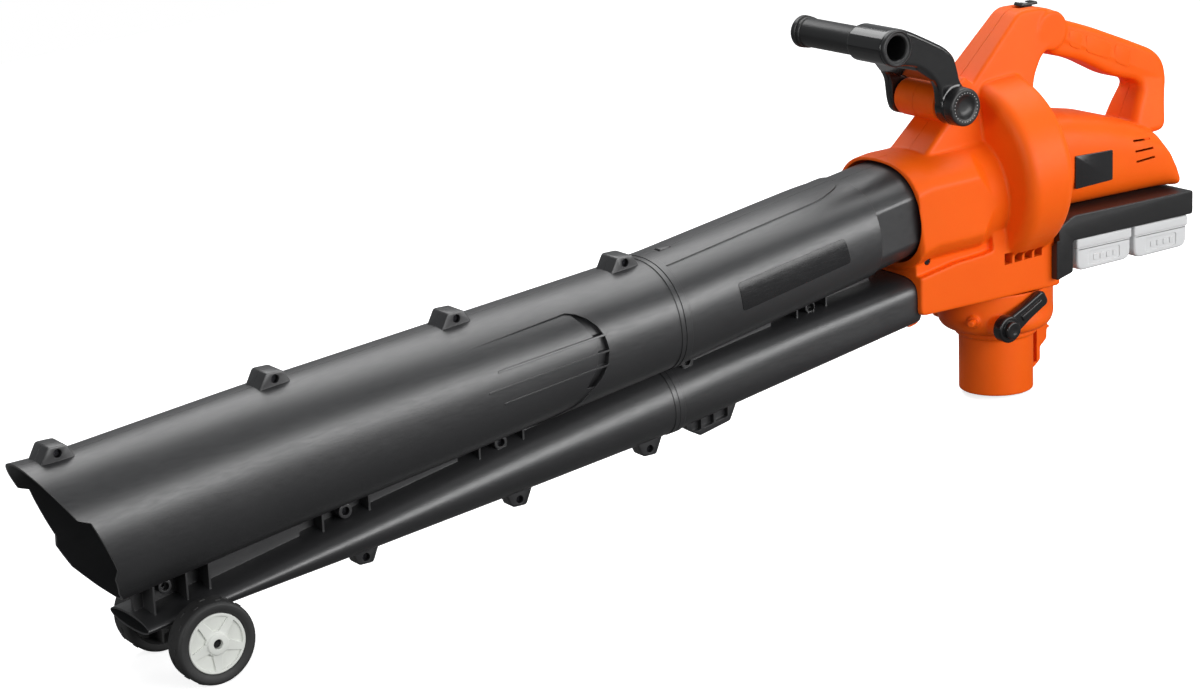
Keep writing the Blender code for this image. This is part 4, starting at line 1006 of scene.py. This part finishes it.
def circuit_board(name):
    """Green solder mask with copper tracks."""
    made, tree, shader = shader_nodes(name)
    tracks = tree.nodes.new("ShaderNodeTexBrick")
    tracks.inputs["Scale"].default_value = 160
    tracks.inputs["Color1"].default_value = (0.02, 0.15, 0.06, 1)
    tracks.inputs["Color2"].default_value = (0.03, 0.20, 0.08, 1)
    tracks.inputs["Mortar"].default_value = (0.25, 0.22, 0.08, 1)
    coords = tree.nodes.new("ShaderNodeTexCoord")
    tree.links.new(coords.outputs["Object"], tracks.inputs["Vector"])
    tree.links.new(tracks.outputs["Color"], shader.inputs["Base Color"])
    tree.links.new(remap(tree, noise_node(tree, 300, 2), 0.35, 0.5), shader.inputs["Roughness"])
    return made


CHARCOAL = plastic("charcoal_plastic", (0.026, 0.0262, 0.0275), (0.022, 0.0222, 0.0235), 0.37, 0.16,
                   1700, 0.6, specular=0.88)
ORANGE = plastic("orange_plastic", (0.92, 0.122, 0.004), (0.89, 0.112, 0.003), 0.46, 0.07, 1500, 0.2,
                 glow=0.10, specular=0.20)
BLACK = plastic("black_plastic", (0.016, 0.016, 0.0165), (0.012, 0.012, 0.0125), 0.36, 0.12, 1600, 0.4)
BLACK_GLOSS = plastic("lever_plastic", (0.012, 0.012, 0.0125), (0.009, 0.009, 0.0095), 0.22, 0.05, 1600, 0.4)
YOKE_BLACK = plastic("yoke_gloss", (0.010, 0.010, 0.0105), (0.008, 0.008, 0.0085), 0.17, 0.04, 1500,
                     0.3, coat=0.5)
TYRE = plastic("tyre_rubber", (0.030, 0.030, 0.030), (0.024, 0.024, 0.024), 0.58, 0.30, 1300, 0.5)
HUB = plastic("hub_plastic", (0.84, 0.86, 0.81), (0.80, 0.82, 0.77), 0.48, 0.10, 1500, 0.5)
PACK = plastic("pack_plastic", (0.68, 0.685, 0.69), (0.64, 0.645, 0.65), 0.42, 0.10, 1500, 0.3,
               glow=0.3, glow_colour=(1.0, 1.0, 1.0))
LABEL = plastic("label_print", (0.014, 0.014, 0.015), (0.012, 0.012, 0.013), 0.24, 0.02, 2500, 0.0,
                edge_radius=0.0)
MARK = plastic("mark_print", (0.80, 0.80, 0.80), (0.72, 0.72, 0.72), 0.45, 0.05, 2500, 0.2,
               edge_radius=0.00012)
DOTS = plastic("dot_print", (0.42, 0.42, 0.42), (0.36, 0.36, 0.36), 0.45, 0.05, 2500, 0.2,
               edge_radius=0.00012)
STEEL = metal("zinc_steel", (0.60, 0.61, 0.63), 0.30)
DARK_STEEL = metal("black_steel", (0.05, 0.05, 0.055), 0.38)
BOARD = circuit_board("circuit_board")


def paint_nodes():
    """Give every CAD node that stays its own finish."""
    finish = {"charcoal": CHARCOAL, "orange": ORANGE, "gloss_black": YOKE_BLACK, "black": BLACK,
              "tyre": TYRE, "hub": HUB, "pack": PACK, "board": BOARD, "steel": STEEL}
    for row in frame["record"]["subparts"]:
        node = frame["nodes"][row["node"]]
        paint = finish[row["material_slot"]]
        if "screw" in row["node"] or row["node"] == "wheel_axle":
            paint = DARK_STEEL
        node.data.materials.clear()
        node.data.materials.append(paint)


# ---- studio ----
def softbox(name, place_at, target, size_x, size_y, power):
    data = bpy.data.lights.new(name, "AREA")
    data.shape = "RECTANGLE"
    data.size, data.size_y = size_x, size_y
    data.energy = power
    lamp = bpy.data.objects.new(name, data)
    bpy.context.scene.collection.objects.link(lamp)
    lamp.location = place_at
    lamp.rotation_euler = (Vector(target) - Vector(place_at)).to_track_quat("-Z", "Y").to_euler()
    return lamp


def studio():
    bm = bmesh.new()
    bmesh.ops.create_grid(bm, x_segments=1, y_segments=1, size=2.6)
    mesh = bpy.data.meshes.new("floor")
    bm.to_mesh(mesh)
    bm.free()
    floor = bpy.data.objects.new("floor", mesh)
    bpy.context.scene.collection.objects.link(floor)
    floor.location.z = -0.0005
    paint, tree, shader = shader_nodes("pale_floor")
    drift = remap(tree, noise_node(tree, 0.8, 2), 0.0, 1.0)
    seen = tree.nodes.new("ShaderNodeLightPath").outputs["Is Camera Ray"]
    pale = mix_colour(tree, drift, (0.90, 0.90, 0.90), (0.88, 0.88, 0.88))
    tree.links.new(mix_colour(tree, seen, (0.16, 0.16, 0.16), pale), shader.inputs["Base Color"])
    shader.inputs["Roughness"].default_value = 0.95
    shader.inputs["Specular IOR Level"].default_value = 0.0
    shader.inputs["Emission Color"].default_value = (1.0, 1.0, 1.0, 1.0)
    tree.links.new(remap(tree, seen, 0.0, 0.74, 0.0, 1.0), shader.inputs["Emission Strength"])
    mesh.materials.append(paint)
    white_surround()
    middle = (0.3, 0.0, 0.15)
    softbox("top_box", (0.75, 0.50, 1.65), middle, 2.6, 1.4, 35)
    softbox("front_box", (0.85, -1.75, 0.62), middle, 2.5, 0.85, 37)
    softbox("nose_box", (-2.3, -0.7, 0.9), middle, 0.9, 0.9, 13)


def white_surround():
    """White to the camera, dim grey to everything else."""
    world = bpy.data.worlds.new("studio")
    bpy.context.scene.world = world
    world.use_nodes = True
    tree = world.node_tree
    background = tree.nodes["Background"]
    seen = tree.nodes.new("ShaderNodeLightPath").outputs["Is Camera Ray"]
    tree.links.new(mix_colour(tree, seen, (0.24, 0.245, 0.25), (1.0, 1.0, 1.0)), background.inputs["Color"])


def camera():
    """Left front view, slightly from above, with the picture's small roll."""
    azimuth, elevation, roll = (math.radians(angle) for angle in (-33.968, 15.381, -2.360))
    back = Vector((math.sin(azimuth) * math.cos(elevation), -math.cos(azimuth) * math.cos(elevation),
                   math.sin(elevation)))
    right = Vector((0, 0, 1)).cross(back).normalized()
    up = back.cross(right)
    turned_right = right * math.cos(roll) + up * math.sin(roll)
    turned_up = back.cross(turned_right)
    data = bpy.data.cameras.new("camera")
    data.lens = 93.05
    data.sensor_width = 36.0
    data.clip_end = 60.0
    eye = bpy.data.objects.new("camera", data)
    bpy.context.scene.collection.objects.link(eye)
    basis = Matrix((turned_right, turned_up, back)).transposed().to_4x4()
    place_at = MACHINE @ Vector((-2052.25, -2318.76, 905.73))
    eye.matrix_world = Matrix.Translation(place_at) @ TURN @ basis
    bpy.context.scene.camera = eye
    bpy.context.scene.view_settings.view_transform = "Standard"


paint_nodes()
front_tube()
rear_tube()
latch_button()
wheels()
main_body()
screws()
grip_pads()
bag_outlet()
mode_lever()
auxiliary_handle()
switch()
badge()
battery_tray()
battery_packs()
studio()
camera()
